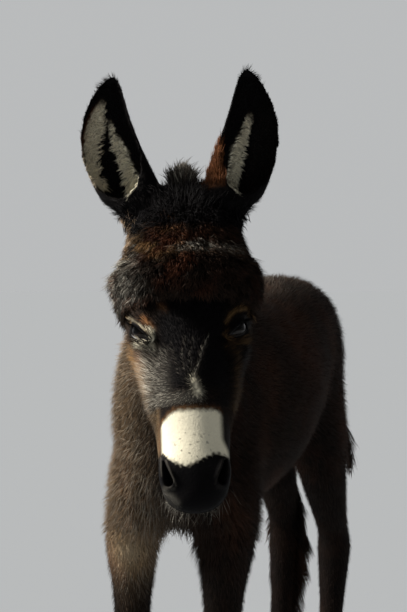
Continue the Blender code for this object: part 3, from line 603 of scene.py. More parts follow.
def ear_place(points, sign):
    """Share of the ear's height, distance to its outer side, to its front, and from its line."""
    up, opens, side = (np.array(value) for value in ear_axes(sign))
    share = (points - np.array(ear_foot(sign))) @ up / EAR_LENGTH[sign]
    bow = np.where(share > 0, EAR_BOW[sign] * np.sin(np.pi * np.clip(share, 0, 1)),
                   EAR_BOW[sign] * np.pi * share)
    line = (np.array(ear_foot(sign)) + share[:, None] * up * EAR_LENGTH[sign]
            + bow[:, None] * axis["across"] * sign + 0.010 * (share**2)[:, None] * opens)
    away = points - line
    outer = away @ side * (1 if np.dot(side, axis["across"] * sign) > 0 else -1)
    return share, outer, away @ opens, np.linalg.norm(away, axis=1)


def ear_share(points, sign):
    """One on the ear, none on the skull that it grows from."""
    share, _, _, away = ear_place(points, sign)
    return ramp(share, -0.06, 0.05) * (away < 0.046)


def ears_share(points):
    """One on both ears, none elsewhere."""
    return np.maximum(ear_share(points, -1), ear_share(points, 1))


def ear_cup(points, ups, sign):
    """One on the skin inside the cup of the ear, none on its back."""
    share, outer, front = ear_place(points, sign)[:3]
    opens, side = (np.array(value) for value in ear_axes(sign)[1:])
    outwards = side * np.sign(np.dot(side, axis["across"] * sign))
    inwards = (0.012 - front)[:, None] * opens - outer[:, None] * outwards
    return ear_share(points, sign) * ramp(dot(unit(inwards), ups), 0.0, 0.35) * (share > 0.02)


def tail_share(points):
    return ramp(points[:, 1], BUTTOCK_Y + 0.002, BUTTOCK_Y + 0.018)


def leg_share(points):
    """One on the legs, none on the trunk."""
    return (1 - ramp(points[:, 2], 0.34, 0.44)) * (1 - tail_share(points)) * (1 - head_share(points))


def trunk_share(points):
    above_legs = (points[:, 2] - 0.36) / 0.10
    behind_head = (np.array(HEAD_CUT) - points) @ axis["ahead"] / 0.05
    before_tail = (BUTTOCK_Y + 0.002 - points[:, 1]) / 0.02
    return np.clip(np.minimum(np.minimum(above_legs, behind_head), before_tail), 0, 1)


def read_points(mesh):
    flat = np.empty(len(mesh.vertices) * 3)
    mesh.vertices.foreach_get("co", flat)
    return flat.reshape(-1, 3)


def write_points(mesh, points):
    mesh.vertices.foreach_set("co", points.ravel())
    mesh.update()


def read_pairs(mesh):
    flat = np.empty(len(mesh.edges) * 2, dtype=np.int32)
    mesh.edges.foreach_get("vertices", flat)
    return flat.reshape(-1, 2)


def read_normals(mesh):
    flat = np.empty(len(mesh.vertices) * 3, dtype=np.float32)
    mesh.vertex_normals.foreach_get("vector", flat)
    return flat.reshape(-1, 3).astype(float)


def soften(points, pairs, share, times):
    """Moves each point half of its share towards the middle of its neighbours, many times."""
    first, second = pairs.T
    count = len(points)
    near = np.bincount(pairs.ravel(), minlength=count)[:, None]
    for _ in range(times):
        total = np.stack([
            np.bincount(first, points[second, k], count) + np.bincount(second, points[first, k], count)
            for k in range(3)
        ], axis=1)
        points = points + 0.5 * share[:, None] * (total / near - points)
    return points


points = read_points(flesh.data)
pairs = read_pairs(flesh.data)
on_ears = ears_share(points)
points = soften(points, pairs, 1 - on_ears, SOFTENING)
points = soften(points, pairs, on_ears, EAR_SOFTENING)
points = soften(points, pairs, trunk_share(points), TRUNK_SOFTENING)
write_points(flesh.data, points)
print("softened", len(points), "points, of which on the ears", int(on_ears.sum()))

# %% [markdown]
# ## Coat depth
# The solids reach to the outside of the short coat. The skin lies deeper: about 10 mm under
# the woolly coat of the trunk, 5 to 7 mm under brow and tail, 2 to 4 mm on the legs and face,
# and about 1 mm on the ears and the muzzle.

# %% Sink the skin by the coat's depth


def coat_depth(points):
    """How far the skin lies inside the outer surface of the coat, in metres."""
    along = head_place(points)[0]
    depth = np.interp(points[:, 2], [0.036, 0.09, 0.25, 0.38, 0.50], [1.3, 2.4, 3.4, 6.0, 9.5])
    depth = depth + (5.0 - depth) * tail_share(points)
    head = np.interp(along, [0.00, 0.05, 0.11, 0.14, 0.17, 0.22, 0.26, 0.29],
                     [6, 7, 6, 3.2, 2.6, 1.8, 1.0, 0.6])
    depth = depth + (head - depth) * head_share(points)
    return 0.001 * (depth + (1.3 - depth) * ears_share(points))


normals = read_normals(flesh.data)
depth = coat_depth(points)
depth = soften(depth[:, None].repeat(3, 1), pairs, np.ones(len(points)), 12)[:, :1]
points = points - normals * depth
points = soften(points, pairs, 0.3 + 0.7 * trunk_share(points), 2)
write_points(flesh.data, points)
print("the skin lies", round(depth.min() * 1000, 1), "to", round(depth.max() * 1000, 1), "mm deep")

# %% [markdown]
# ## Face
# Lids, nostrils and lips need a finer net than the back does. Cutting the squares of the face
# into smaller ones where they are needed keeps the model light. Each hollow is then pressed
# in by a short rule that says how deep every point goes.

# %% Finer net on the face


def refine(mesh, wanted):
    """Cuts each edge between wanted points in two."""
    builder = bmesh.new()
    builder.from_mesh(mesh)
    builder.verts.ensure_lookup_table()
    chosen = [edge for edge in builder.edges if wanted[edge.verts[0].index] and wanted[edge.verts[1].index]]
    bmesh.ops.subdivide_edges(builder, edges=chosen, cuts=1, use_grid_fill=True)
    bmesh.ops.triangulate(builder, faces=[face for face in builder.faces if len(face.verts) > 4])
    builder.to_mesh(mesh)
    builder.free()
    points = read_points(mesh)
    return points, read_pairs(mesh)


def eye_axes(sign):
    """The way the eye looks, the long way of its lids, and the short way."""
    looks = (OUT * math.cos(EYE_ASIDE) + ACROSS * (sign * math.sin(EYE_ASIDE))).normalized()
    flat = (ALONG - looks * ALONG.dot(looks)).normalized()
    longways = Matrix.Rotation(-sign * EYE_SLANT, 3, looks) @ flat
    return looks, longways, looks.cross(longways)


def eye_centre(sign):
    return in_head(EYE_ALONG, sign * EYE_ACROSS, EYE_OUT)


def eye_place(points, sign):
    """Each point's distance along the lids, across them and out of the eye's middle."""
    away = points - np.array(eye_centre(sign))
    return tuple(away @ np.array(way) for way in eye_axes(sign)[1:] + eye_axes(sign)[:1])


for reach, muzzle_from in ((0.034, 0.235), (0.026, 0.262)):
    along, across, out = head_place(points)
    wanted = (along > muzzle_from) & (head_share(points) > 0.5)
    for sign in (-1, 1):
        wide, tall, ahead = eye_place(points, sign)
        wanted |= (np.hypot(wide, tall) < reach) & (ahead > 0)
    points, pairs = refine(flesh.data, wanted)
    along, across, out = head_place(points)
    share = ramp(along, muzzle_from - 0.01, muzzle_from + 0.01) * head_share(points)
    for sign in (-1, 1):
        wide, tall, ahead = eye_place(points, sign)
        near_eye = 1 - ramp(np.hypot(wide, tall), reach - 0.004, reach + 0.004)
        share = np.maximum(share, near_eye * (ahead > 0))
    points = soften(points, pairs, share, 5)
    write_points(flesh.data, points)
print("the finer net has", len(points), "points")

# %% [markdown]
# Round each eye the skin is laid over the ball: inside the almond of the lids it drops behind
# the ball, at the rim it stands a lid's thickness above it, and from there it runs out to the
# brow and cheek. Two soft folds lie above the upper lid and one below the lower one.

# %% Lids
LID = 0.0017
LID_REACH = 0.0150


def lid_height(tall, sign):
    """Half the opening on this side of the eye's long axis: the upper lid droops."""
    return np.where(np.asarray(tall) * sign < 0, EYE_UPPER, EYE_LOWER)


def almond(wide, tall, sign):
    """How far a point lies outside the almond between the lids, below zero inside it."""
    opening = lid_height(tall, sign)
    angle = np.arctan2(tall / opening, wide / EYE_HALF)
    rise = np.sin(angle) * np.abs(np.sin(angle)) ** 0.3
    edge = np.hypot(EYE_HALF * np.cos(angle), opening * rise)
    return np.hypot(wide, tall) - edge


def shape_lids(points, sign):
    centre = np.array(eye_centre(sign))
    wide, tall, ahead = eye_place(points, sign)
    away = points - centre
    distance = np.linalg.norm(away, axis=1)
    outside = almond(wide, tall, sign)
    rim = EYE_RADIUS + LID
    free = np.maximum(distance, rim)
    spread = ramp(outside, 0.0008, LID_REACH)
    target = rim + (free - rim) * spread
    target += 0.0010 * np.exp(-((outside - 0.0022) / 0.0018) ** 2)
    upper = ramp(-tall * sign, -0.002, 0.004)
    target -= upper * 0.0016 * np.exp(-((outside - 0.0062) / 0.0014) ** 2)
    target -= upper * 0.0009 * np.exp(-((outside - 0.0105) / 0.0014) ** 2)
    target -= (1 - upper) * 0.0011 * np.exp(-((outside - 0.0058) / 0.0015) ** 2)
    sunk = EYE_RADIUS - 0.0035
    target = np.where(outside < 0, sunk + (rim - sunk) * ramp(outside, -0.0009, 0.0), target)
    near = (ahead > 0.002) & (outside < LID_REACH)
    return np.where(near[:, None], centre + away / distance[:, None] * target[:, None], points)


for sign in (-1, 1):
    wide, tall, ahead = eye_place(points, sign)
    middle = (np.hypot(wide, tall) < 0.004) & (ahead > 0)
    print("skin over the eye's middle lay", round(float(ahead[middle].mean()) * 1000, 1), "mm out")
    points = shape_lids(points, sign)

# %% [markdown]
# A donkey's nostril is a comma: a round lower part that narrows upwards and bends inwards. The
# rim stands up a little round it. The mouth is a thin slit that runs back below the muzzle,
# between two soft lips.

# %% Nostrils and mouth
NOSTRIL_DEPTH = 0.013
MOUTH_LINE = ([0.262, 0.275, 0.290, 0.305, 0.332], [-0.0160, -0.0135, -0.0115, -0.0090, -0.0040])


def off_segment(along, across, start, end):
    """The share of a segment at which each place is nearest to it, and how far off it is."""
    step = np.array([end[0] - start[0], end[1] - start[1]])
    share = ((along - start[0]) * step[0] + (across - start[1]) * step[1]) / (step @ step)
    share = np.clip(share, 0, 1)
    far = np.hypot(along - start[0] - share * step[0], across - start[1] - share * step[1])
    return share, far


def nostril_gap(along, across):
    """Distance to the comma's middle line, less the comma's half width there."""
    line = [(0.2750, 0.0298, 0.0011), (0.2820, 0.0288, 0.0024), (0.2885, 0.0272, 0.0036),
            (0.2945, 0.0252, 0.0043)]
    gap = np.full(len(along), 1.0)
    for start, end in zip(line, line[1:]):
        share, far = off_segment(along, across, start, end)
        gap = np.minimum(gap, far - (start[2] + share * (end[2] - start[2])))
    return gap


along, across, out = head_place(points)
for sign in (-1, 1):
    facing = (out > 0.004) & (across * sign > 0.006) & (along > 0.255)
    gap = nostril_gap(along, across * sign)
    hole = ramp(-gap, -0.0004, 0.0028) * facing
    rim = np.exp(-((gap - 0.0016) / 0.0020) ** 2) * facing
    inwards = -axis["out"] * 0.85 - axis["across"] * sign * 0.45 - axis["along"] * 0.25
    points = points + hole[:, None] * NOSTRIL_DEPTH * inwards
    points = points + (rim * 0.0013)[:, None] * (axis["out"] + axis["across"] * sign * 0.6)
line_out = np.interp(along, *MOUTH_LINE)
on_lips = ramp(along, 0.258, 0.268) * head_share(points)
slit = np.exp(-((out - line_out) / 0.0010) ** 2) * on_lips
lips = np.exp(-((np.abs(out - line_out) - 0.0042) / 0.0026) ** 2) * on_lips
middle = np.array(in_head(0.255, 0.0, -0.010))
outwards = unit(points - middle)
points = points - (slit * 0.0045)[:, None] * outwards + (lips * 0.0011)[:, None] * outwards
write_points(flesh.data, points)
print("nostrils", NOSTRIL_DEPTH * 1000, "mm deep")

# %% [markdown]
# ## Markings
# The same rules colour the skin and every tuft on it. Each rule gives a weight from none to one at a place:
# pale for the nose band and the streaks by the eyes, tan, red-brown, silver, black. Silver also carries
# painted sunlight on the side towards the lamp, and black also carries painted shade on the side away from it
# and in hollows.
# Ripples of a few millimetres roughen the borders, as single hairs do on the real coat.

# %% Markings


def ripple(points, size, seed):
    """A smooth random value from about -1 to 1 with bumps of the given size."""
    draw = np.random.default_rng(seed)
    ways = unit(draw.normal(size=(7, 3))) * draw.uniform(0.7, 1.4, (7, 1)) * 2 * np.pi / size
    return np.sin(points @ ways.T + draw.uniform(0, 2 * np.pi, 7)).sum(1) / 3.0


def spot(points, centre, size):
    """One at the centre, falling off to none at about twice the size."""
    return np.exp(-((points - np.array(centre)) ** 2).sum(1) / size**2)


def beside(along, across, route, half):
    """One on a line through along-and-across points, falling off over its half width."""
    far = np.full(len(along), 1.0)
    for start, end in zip(route, route[1:]):
        far = np.minimum(far, off_segment(along, across, start, end)[1])
    return np.exp(-(far / half) ** 2)


def between(values, low, high, soft):
    """One between two limits, with soft edges."""
    return ramp(values, low - soft, low + soft) * (1 - ramp(values, high - soft, high + soft))


def strokes(along, across, lines):
    """The strongest of several lines, each with a weight, a half width and its route."""
    marks = [weight * beside(along, across, route, half) for weight, half, route in lines]
    return np.max(marks, axis=0)


# %% [markdown]
# The band crosses the nose from one side to the other. Its upper corners are round, its lower
# edge wanders, and a few dark hairs speckle it. Rusty hair edges it. Below it the nose is black
# but for the grey rims of the nostrils and a grey strip on the lip, and the chin is grey.

# %% Marks of the nose
BAND_TOP = 0.2270
BAND_SIDES = (-0.0315, 0.0290)
BAND_LOW_EDGE = ((-0.030, -0.024, -0.014, -0.007, 0.005, 0.021, 0.032),
                 (0.2675, 0.2746, 0.2810, 0.2825, 0.2774, 0.2705, 0.2735))
NOSTRIL_RIMS = (
    (0.80, 0.0013, ((0.2740, 0.0275), (0.2830, 0.0245), (0.2920, 0.0210), (0.2985, 0.0188))),
    (0.60, 0.0015, ((0.2690, 0.0325), (0.2790, 0.0325), (0.2880, 0.0318))),
    (0.60, 0.0026, ((0.3000, 0.0245), (0.3010, 0.0210))),
)
LIP_STRIP = ((0.300, -0.0300), (0.314, -0.0180))


def nose_marks(points, ups):
    along, across, out = head_place(points)
    fine = ripple(points, 0.005, 1)
    corner = np.clip((np.abs(across - 0.003) - 0.017) / 0.013, 0, 1.6)
    top = BAND_TOP + 0.0066 * corner**2 + 0.0006 * fine
    end = np.interp(across, *BAND_LOW_EDGE) + 0.0011 * fine
    low, high = BAND_SIDES
    widest = high + 0.006 * ramp(along, 0.252, 0.268)
    pale = ramp(along, top - 0.0016, top + 0.0026) * (1 - ramp(along, end - 0.0045, end + 0.0015))
    pale *= ramp(across, low - 0.0012, low + 0.0022) * (1 - ramp(across, widest - 0.005, widest + 0.002))
    pale *= ramp(ups @ axis["out"], 0.0, 0.25)
    speckled = between(along, 0.250, 0.276, 0.004) * between(across, -0.019, 0.016, 0.004)
    pale *= 1 - 0.55 * speckled * ramp(ripple(points, 0.0044, 5), 0.90, 1.15)
    rust = np.exp(-((along - top + 0.0022) / 0.0022) ** 2) * between(across, low - 0.002, high, 0.003)
    rusty_side = np.exp(-((across - low + 0.0014) / 0.0016) ** 2) * between(along, 0.233, 0.264, 0.004)
    rust = np.maximum(rust, rusty_side)
    rust *= 0.65 + 0.35 * ripple(points, 0.004, 14)
    tan = 0.45 * rust * (1 - 0.6 * ramp(across, 0.0, 0.02))
    red = 0.50 * rust
    # Painted shade: the nostril rims on the left, the side away from the lamp, get less than half their grey.
    side = 1 - 0.6 * (across > 0)
    silver = side * strokes(along, np.abs(across), NOSTRIL_RIMS) * (out > 0)
    silver = np.maximum(silver, 0.85 * beside(along, across, LIP_STRIP, 0.0042))
    silver = np.maximum(silver, 0.55 * ramp(-out, -0.002, 0.012) * ramp(along, 0.258, 0.276))
    side_fur = ramp(-across, 0.0300, 0.0345) * (1 - ramp(along, 0.258, 0.274))
    silver = np.maximum(silver, 0.45 * side_fur)
    tan = np.maximum(tan, 0.40 * side_fur)
    black = 0.96 * ramp(along, end - 0.002, end + 0.0015) * ramp(out, -0.014, 0.002) * (1 - 0.9 * silver)
    return np.stack([pale, tan, red, silver, black])


# %% [markdown]
# Above the band a whitish brush of hair marks the whorl, and single pale strokes fan out of it over the black
# face. The cheeks are brown with a tan line. The cheek, the side of the bridge and the brow on the right, the
# side towards the lamp, are greyed as painted sunlight, and the tips along the top of the wool are painted
# lit in tan and grey. The left side of the face and the crown between the ears are made black as painted
# shade. A donkey's eyes have pale spectacles: here cream and rust round the right eye, and a dull olive tan
# round the left.

# %% Marks of the face
WHORL = (0.2035, 0.0045)
FACE_STROKES = (
    (0.85, 0.0014, ((0.1952, 0.0028), (0.1819, 0.0082), (0.1596, 0.0170))),
    (0.40, 0.0011, ((0.1930, 0.0000), (0.1750, 0.0010), (0.1610, 0.0045))),
    (0.45, 0.0012, ((0.1910, -0.0048), (0.1746, -0.0061), (0.1602, -0.0036))),
    (0.40, 0.0013, ((0.1930, -0.0090), (0.1790, -0.0130), (0.1660, -0.0160))),
)
BRUSH = (0.95, 0.0038, ((0.1990, 0.0025), (0.2045, 0.0050), (0.2095, 0.0062)))
CREAM_BY_EYES = (
    (0.50, 0.0012, ((0.1322, -0.0566), (0.1422, -0.0479), (0.1500, -0.0394))),
    (0.90, 0.0017, ((0.1465, -0.0353), (0.1576, -0.0358), (0.1650, -0.0354))),
    (0.75, 0.0021, ((0.1600, -0.0460), (0.1640, -0.0420), (0.1605, -0.0380))),
)
RUST_BY_EYES = (
    (0.90, 0.0026, ((0.1380, -0.0435), (0.1395, -0.0390), (0.1460, -0.0350))),
    (0.55, 0.0015, ((0.1664, -0.0450), (0.1735, -0.0447), (0.1830, -0.0455))),
    (0.85, 0.0036, ((0.1250, -0.0260), (0.1290, -0.0220))),
)
TAN_BY_EYES = (
    (0.70, 0.0014, ((0.1310, -0.0580), (0.1422, -0.0485), (0.1500, -0.0400))),
    (0.55, 0.0022, ((0.1590, -0.0530), (0.1910, -0.0465), (0.2560, -0.0345))),
    (0.65, 0.0025, ((0.1427, 0.0364), (0.1343, 0.0417), (0.1281, 0.0520), (0.1235, 0.0638))),
    (0.50, 0.0022, ((0.1529, 0.0340), (0.1612, 0.0417), (0.1584, 0.0499), (0.1463, 0.0568))),
    (0.40, 0.0028, ((0.1637, 0.0356), (0.1770, 0.0425), (0.2580, 0.0360))),
)


def face_marks(points):
    along, across = head_place(points)[:2]
    coarse = ripple(points, 0.030, 2)
    brush = strokes(along, across, (BRUSH,)) * (0.75 + 0.25 * ripple(points, 0.0032, 6))
    pale = np.maximum(brush, strokes(along, across, CREAM_BY_EYES))
    tan = strokes(along, across, TAN_BY_EYES)
    rust = strokes(along, across, RUST_BY_EYES)
    patchy = ramp(ripple(points, 0.022, 9), -0.5, 0.6)
    # Painted sunlight: tan on the tips along the top of the brow's wool, where light catches them, strongest
    # on the right side towards the lamp.
    sunlit_brow_top = between(along, 0.038, 0.072, 0.010) * patchy
    tan = np.maximum(tan, 0.55 * sunlit_brow_top * (0.15 + 0.85 * ramp(-across, -0.005, 0.025)))
    tan = np.maximum(tan, 0.45 * rust)
    red = 0.65 * ramp(coarse, -0.4, 0.6) * between(along, 0.034, 0.112, 0.012)
    red *= 1 - 0.7 * ramp(across, 0.0, 0.03)
    red = np.maximum(red, rust)
    # Painted sunlight: grey beside the bridge on the right side, which faces the lamp, and not on the left.
    sunlit_beside_bridge = between(along, 0.168, 0.222, 0.008) * between(-across, 0.018, 0.044, 0.006)
    above_band = between(along, 0.208, 0.2225, 0.004) * between(across, -0.034, 0.010, 0.005)
    silver = np.maximum(0.50 * sunlit_beside_bridge, 0.55 * above_band)
    silver = np.maximum(silver, strokes(along, across, FACE_STROKES))
    # Painted sunlight: the right side of the brow, towards the lamp, is greyed as sunlit sheen.
    sunlit_brow_side = ramp(-across, 0.030, 0.058) * (1 - ramp(along, 0.104, 0.120)) * ramp(along, 0.02, 0.06)
    silver = np.maximum(silver, 0.66 * sunlit_brow_side)
    # Painted highlight: a grey line of lit tips across the upper brow wool.
    sunlit_wool_tips = 0.45 * between(along, 0.054, 0.068, 0.003) * between(across, -0.005, 0.045, 0.005)
    silver = np.maximum(silver, sunlit_wool_tips)
    silver = np.maximum(silver, 0.50 * between(along, -0.060, -0.006, 0.004) * (np.abs(across) < 0.024))
    # Painted sunlight: grey and tan on the right cheek only, the side towards the lamp.
    cheek = ramp(-across, 0.036, 0.046) * ramp(along, 0.165, 0.185)
    silver = np.maximum(silver, 0.40 * cheek)
    tan = np.maximum(tan, 0.30 * cheek)
    black = 0.94 * between(along, 0.118, 0.208, 0.008) * (1 - ramp(np.abs(across - 0.004), 0.026, 0.042))
    # Painted shade: the left side of the face, from the eye down to the nose band, away from the lamp, is
    # made black.
    black = np.maximum(black, 0.80 * ramp(across, 0.010, 0.030) * between(along, 0.130, 0.245, 0.010))
    black = np.maximum(black, 0.45 * between(along, 0.030, 0.118, 0.010) * (1 - ramp(-across, 0.030, 0.060)))
    # Painted shade: the crown between the ears, which lies in shade, is made black.
    black = np.maximum(black, 0.97 * between(along, -0.008, 0.036, 0.006))
    black = np.maximum(black, 0.60 * (1 - ramp(along, -0.010, -0.004)))
    black *= 1 - np.clip(pale + 0.9 * silver + 0.9 * tan, 0, 1)
    return np.stack([pale, tan, red, silver, black])


def lid_marks(points, weights):
    """Lays the black skin of the lids over the markings."""
    for sign in (-1, 1):
        wide, tall, ahead = eye_place(points, sign)
        outside = almond(wide, tall, sign)
        lid = (ahead > 0) * (1 - ramp(outside, 0.0024, 0.0036))
        weights[:4] *= 1 - lid
        weights[4] = np.maximum(weights[4], 0.95 * lid)
    return weights


# %% [markdown]
# An ear is black at its tip and rims. Inside it, cream hair grows from both sides over the hollow, whose
# black is painted shade. The right ear shows both strips; on the left ear the outer strip, on the wall that
# lies in shade, is left out, and that wall is made black as painted shade too.
# Rust-red hair joins the left ear's foot to the poll, and a short pale fringe edges the outer
# foot of the right ear.

# %% Marks of the ears
# The left ear's outer edges lie beyond the ear, so it gets no outer strip: painted shade on that wall.
HOLLOW = {-1: ((0.03, 0.24, 0.45, 0.62, 0.83), (-0.004, -0.003, -0.003, 0.000, 0.004),
               (0.024, 0.023, 0.0140, 0.004, 0.006)),
          1: ((0.03, 0.12, 0.40, 0.66, 0.83), (0.004, 0.003, -0.003, 0.002, 0.002),
              (0.040, 0.040, 0.040, 0.040, 0.040))}
INNER_STRIP = {-1: ((0.0, 0.24, 0.45, 0.63), (-0.0135, -0.0170, -0.0165, -0.0040)),
               1: ((0.0, 0.12, 0.40, 0.66), (-0.0130, -0.0130, -0.0185, -0.0030))}
OUTER_EDGE = ((0.15, 0.24, 0.45, 0.66, 0.82), (0.029, 0.0325, 0.0295, 0.0215, 0.0110))


def ear_marks(points, ups, sign):
    """The markings of one ear, told by how high and how far across it a point is seen."""
    share, outer, front = ear_place(points, sign)[:3]
    cup = ear_cup(points, ups, sign)
    seen = outer * math.cos(EAR_TURN) + front * math.sin(EAR_TURN) + 0.0010 * ripple(points, 0.006, 7)
    low = np.interp(share, *HOLLOW[sign][:2])
    high = np.interp(share, HOLLOW[sign][0], HOLLOW[sign][2])
    edge = np.interp(share, *INNER_STRIP[sign])
    inner = cup * ramp(seen, edge - 0.0015, edge + 0.0015) * (1 - ramp(seen, low - 0.001, low + 0.001))
    inner *= 1 - ramp(share, 0.60, 0.68)
    outer_edge = np.interp(share, *OUTER_EDGE)
    outer_strip = cup * ramp(seen, high - 0.001, high + 0.0015) * between(share, 0.16, 0.80, 0.05)
    outer_strip *= 1 - ramp(seen, outer_edge - 0.002, outer_edge + 0.002)
    bright = 1 - ramp(share, 0.25, 0.50)
    pale = inner * (0.85 + 0.15 * bright) + 0.75 * outer_strip
    tan = 0.60 * inner * (1 - bright) + 0.80 * outer_strip
    red = 0.60 * np.exp(-((seen - outer_edge - 0.0015) / 0.0025) ** 2)
    red *= between(share, 0.15, 0.80, 0.05) * (sign < 0)
    silver = 0.10 * cup * (sign > 0) * ramp(seen, low, low + 0.010) * (1 - ramp(share, 0.6, 0.8))
    # Black covers every part of the ear without a strip: the real black of backs, tips and rims, and painted
    # shade in the hollow and on the left ear's outer wall.
    black = 0.92 - 0.92 * np.clip(inner + outer_strip + red + silver, 0, 1)
    black = np.maximum(black, 0.85 * ramp(share, 0.78, 0.88))
    return np.stack([pale, tan, red, silver, black])


def rust_foot(points):
    """How much of the rust-red hair between the left ear's foot and the poll is here."""
    along, across, out = head_place(points)
    inner = np.interp(along, [-0.050, -0.032, -0.010], [0.034, 0.015, 0.018])
    outer = np.interp(along, [-0.050, -0.010], [0.0425, 0.0455])
    return between(along, -0.056, -0.010, 0.004) * ramp(across, inner, inner + 0.003) * (
        1 - ramp(across, outer - 0.001, outer + 0.001)) * between(out, 0.002, 0.070, 0.006)


def pale_foot(points):
    """How much of the pale fringe at the right ear's outer foot is here."""
    share, outer, front, away = ear_place(points, -1)
    near = (away < 0.045) * ramp(front, -0.008, 0.004)
    return near * between(share, -0.26, -0.13, 0.03) * between(outer, 0.006, 0.030, 0.004)


# %% [markdown]
# The body is dark brown. It turns redder in soft streaks and greyer on the rump's top. The right shoulder and
# chest are grey-brown, which fades backwards along the right side: partly the coat's own grey-brown, partly
# painted sunlight, as only the side towards the lamp has it. One tan patch lies on the right forearm.

# %% Marks of the body


def body_marks(points):
    coarse = ripple(points, 0.030, 2)
    broad = ripple(points, 0.090, 3)
    streaks = ripple(points * np.array([1.0, 1.0, 0.3]), 0.014, 8)
    none = 0 * coarse
    on_legs = leg_share(points)
    # The front weight: grey-brown, tan and red on the right chest and shoulder, partly the coat's own colour,
    # partly painted sunlight on the side towards the lamp.
    front = ramp(-points[:, 1] + 0.03 * broad, -0.30, 0.21) * (1 - ramp(points[:, 0], -0.055, 0.020))
    front *= ramp(points[:, 2] + 0.02 * broad, 0.28, 0.38)
    red = 0.24 * ramp(0.5 * coarse + 0.5 * broad + 0.5 * streaks, -1.2, 1.6) * (1 - 0.7 * on_legs)
    red += 0.25 * spot(points, (0.105, 0.02, 0.60), 0.05) + 0.9 * spot(points, (-0.090, -0.19, 0.36), 0.026)
    red += 0.45 * front * ramp(streaks, 0.1, 0.8)
    forearm = spot(points, (-0.060, -0.204, 0.372), 0.023)
    tan = forearm + 0.36 * front
    rump_top = ramp(points[:, 2], 0.64, 0.71) * ramp(points[:, 1], -0.06, 0.08)
    silver = 0.26 * rump_top + front * (0.55 + 0.25 * ramp(streaks, -0.5, 0.5))
    black = 0.35 * (1 - front) * (1 - ramp(broad, -0.2, 0.8)) * (1 - rump_top)
    return np.stack([0.28 * forearm + none, tan, red, silver, black])


def markings(points, ups):
    """Weights of pale, tan, red, silver and black hair at each place, a row for each point. Silver also holds
    painted sunlight and black holds painted shade.
    """
    along = head_place(points)[0]
    nose = ramp(along, 0.2195, 0.2215)
    weights = face_marks(points) * (1 - nose) + nose_marks(points, ups) * nose
    weights = lid_marks(points, weights)
    face = head_share(points)
    weights = weights * face + body_marks(points) * (1 - face)
    for sign in (-1, 1):
        on_ear = ear_share(points, sign)
        weights = weights * (1 - on_ear) + ear_marks(points, ups, sign) * on_ear
    for foot, pale, tan, red in ((rust_foot(points), 0.0, 0.15, 1.0), (pale_foot(points), 0.2, 0.5, 0.9)):
        weights = weights * (1 - foot)
        weights[:3] += np.array([[pale], [tan], [red]]) * foot
    return np.clip(weights.T, 0, 1)


print("the nose band is", round((max(BAND_LOW_EDGE[1]) - BAND_TOP) * 1000), "mm high")

# %% [markdown]
# ## Finish of hair and skin
# Hair is horn-like keratin grown in thin strands: IOR about 1.55, a soft broad gloss, roots
# darker than tips because little light gets down to them. Skin under a coat is dull. Both
# take their colours from the weights above, which each point of a mesh carries.

# %% Hair and skin
HAIR_IOR = 1.55
HAIR_ROUGHNESS = 0.55
SKIN_ROUGHNESS = 0.75
PALE_HAIR = "f0e9d0"
TAN_HAIR = "98764c"
RED_HAIR = "62351f"
# Silver is also laid as painted sunlight on the side towards the lamp, and black as painted shade on the side
# away from it, in the ear hollows and between the ears.
SILVER_HAIR_AND_PAINTED_SUN = "9a968b"
BLACK_HAIR_AND_PAINTED_SHADE = "060507"


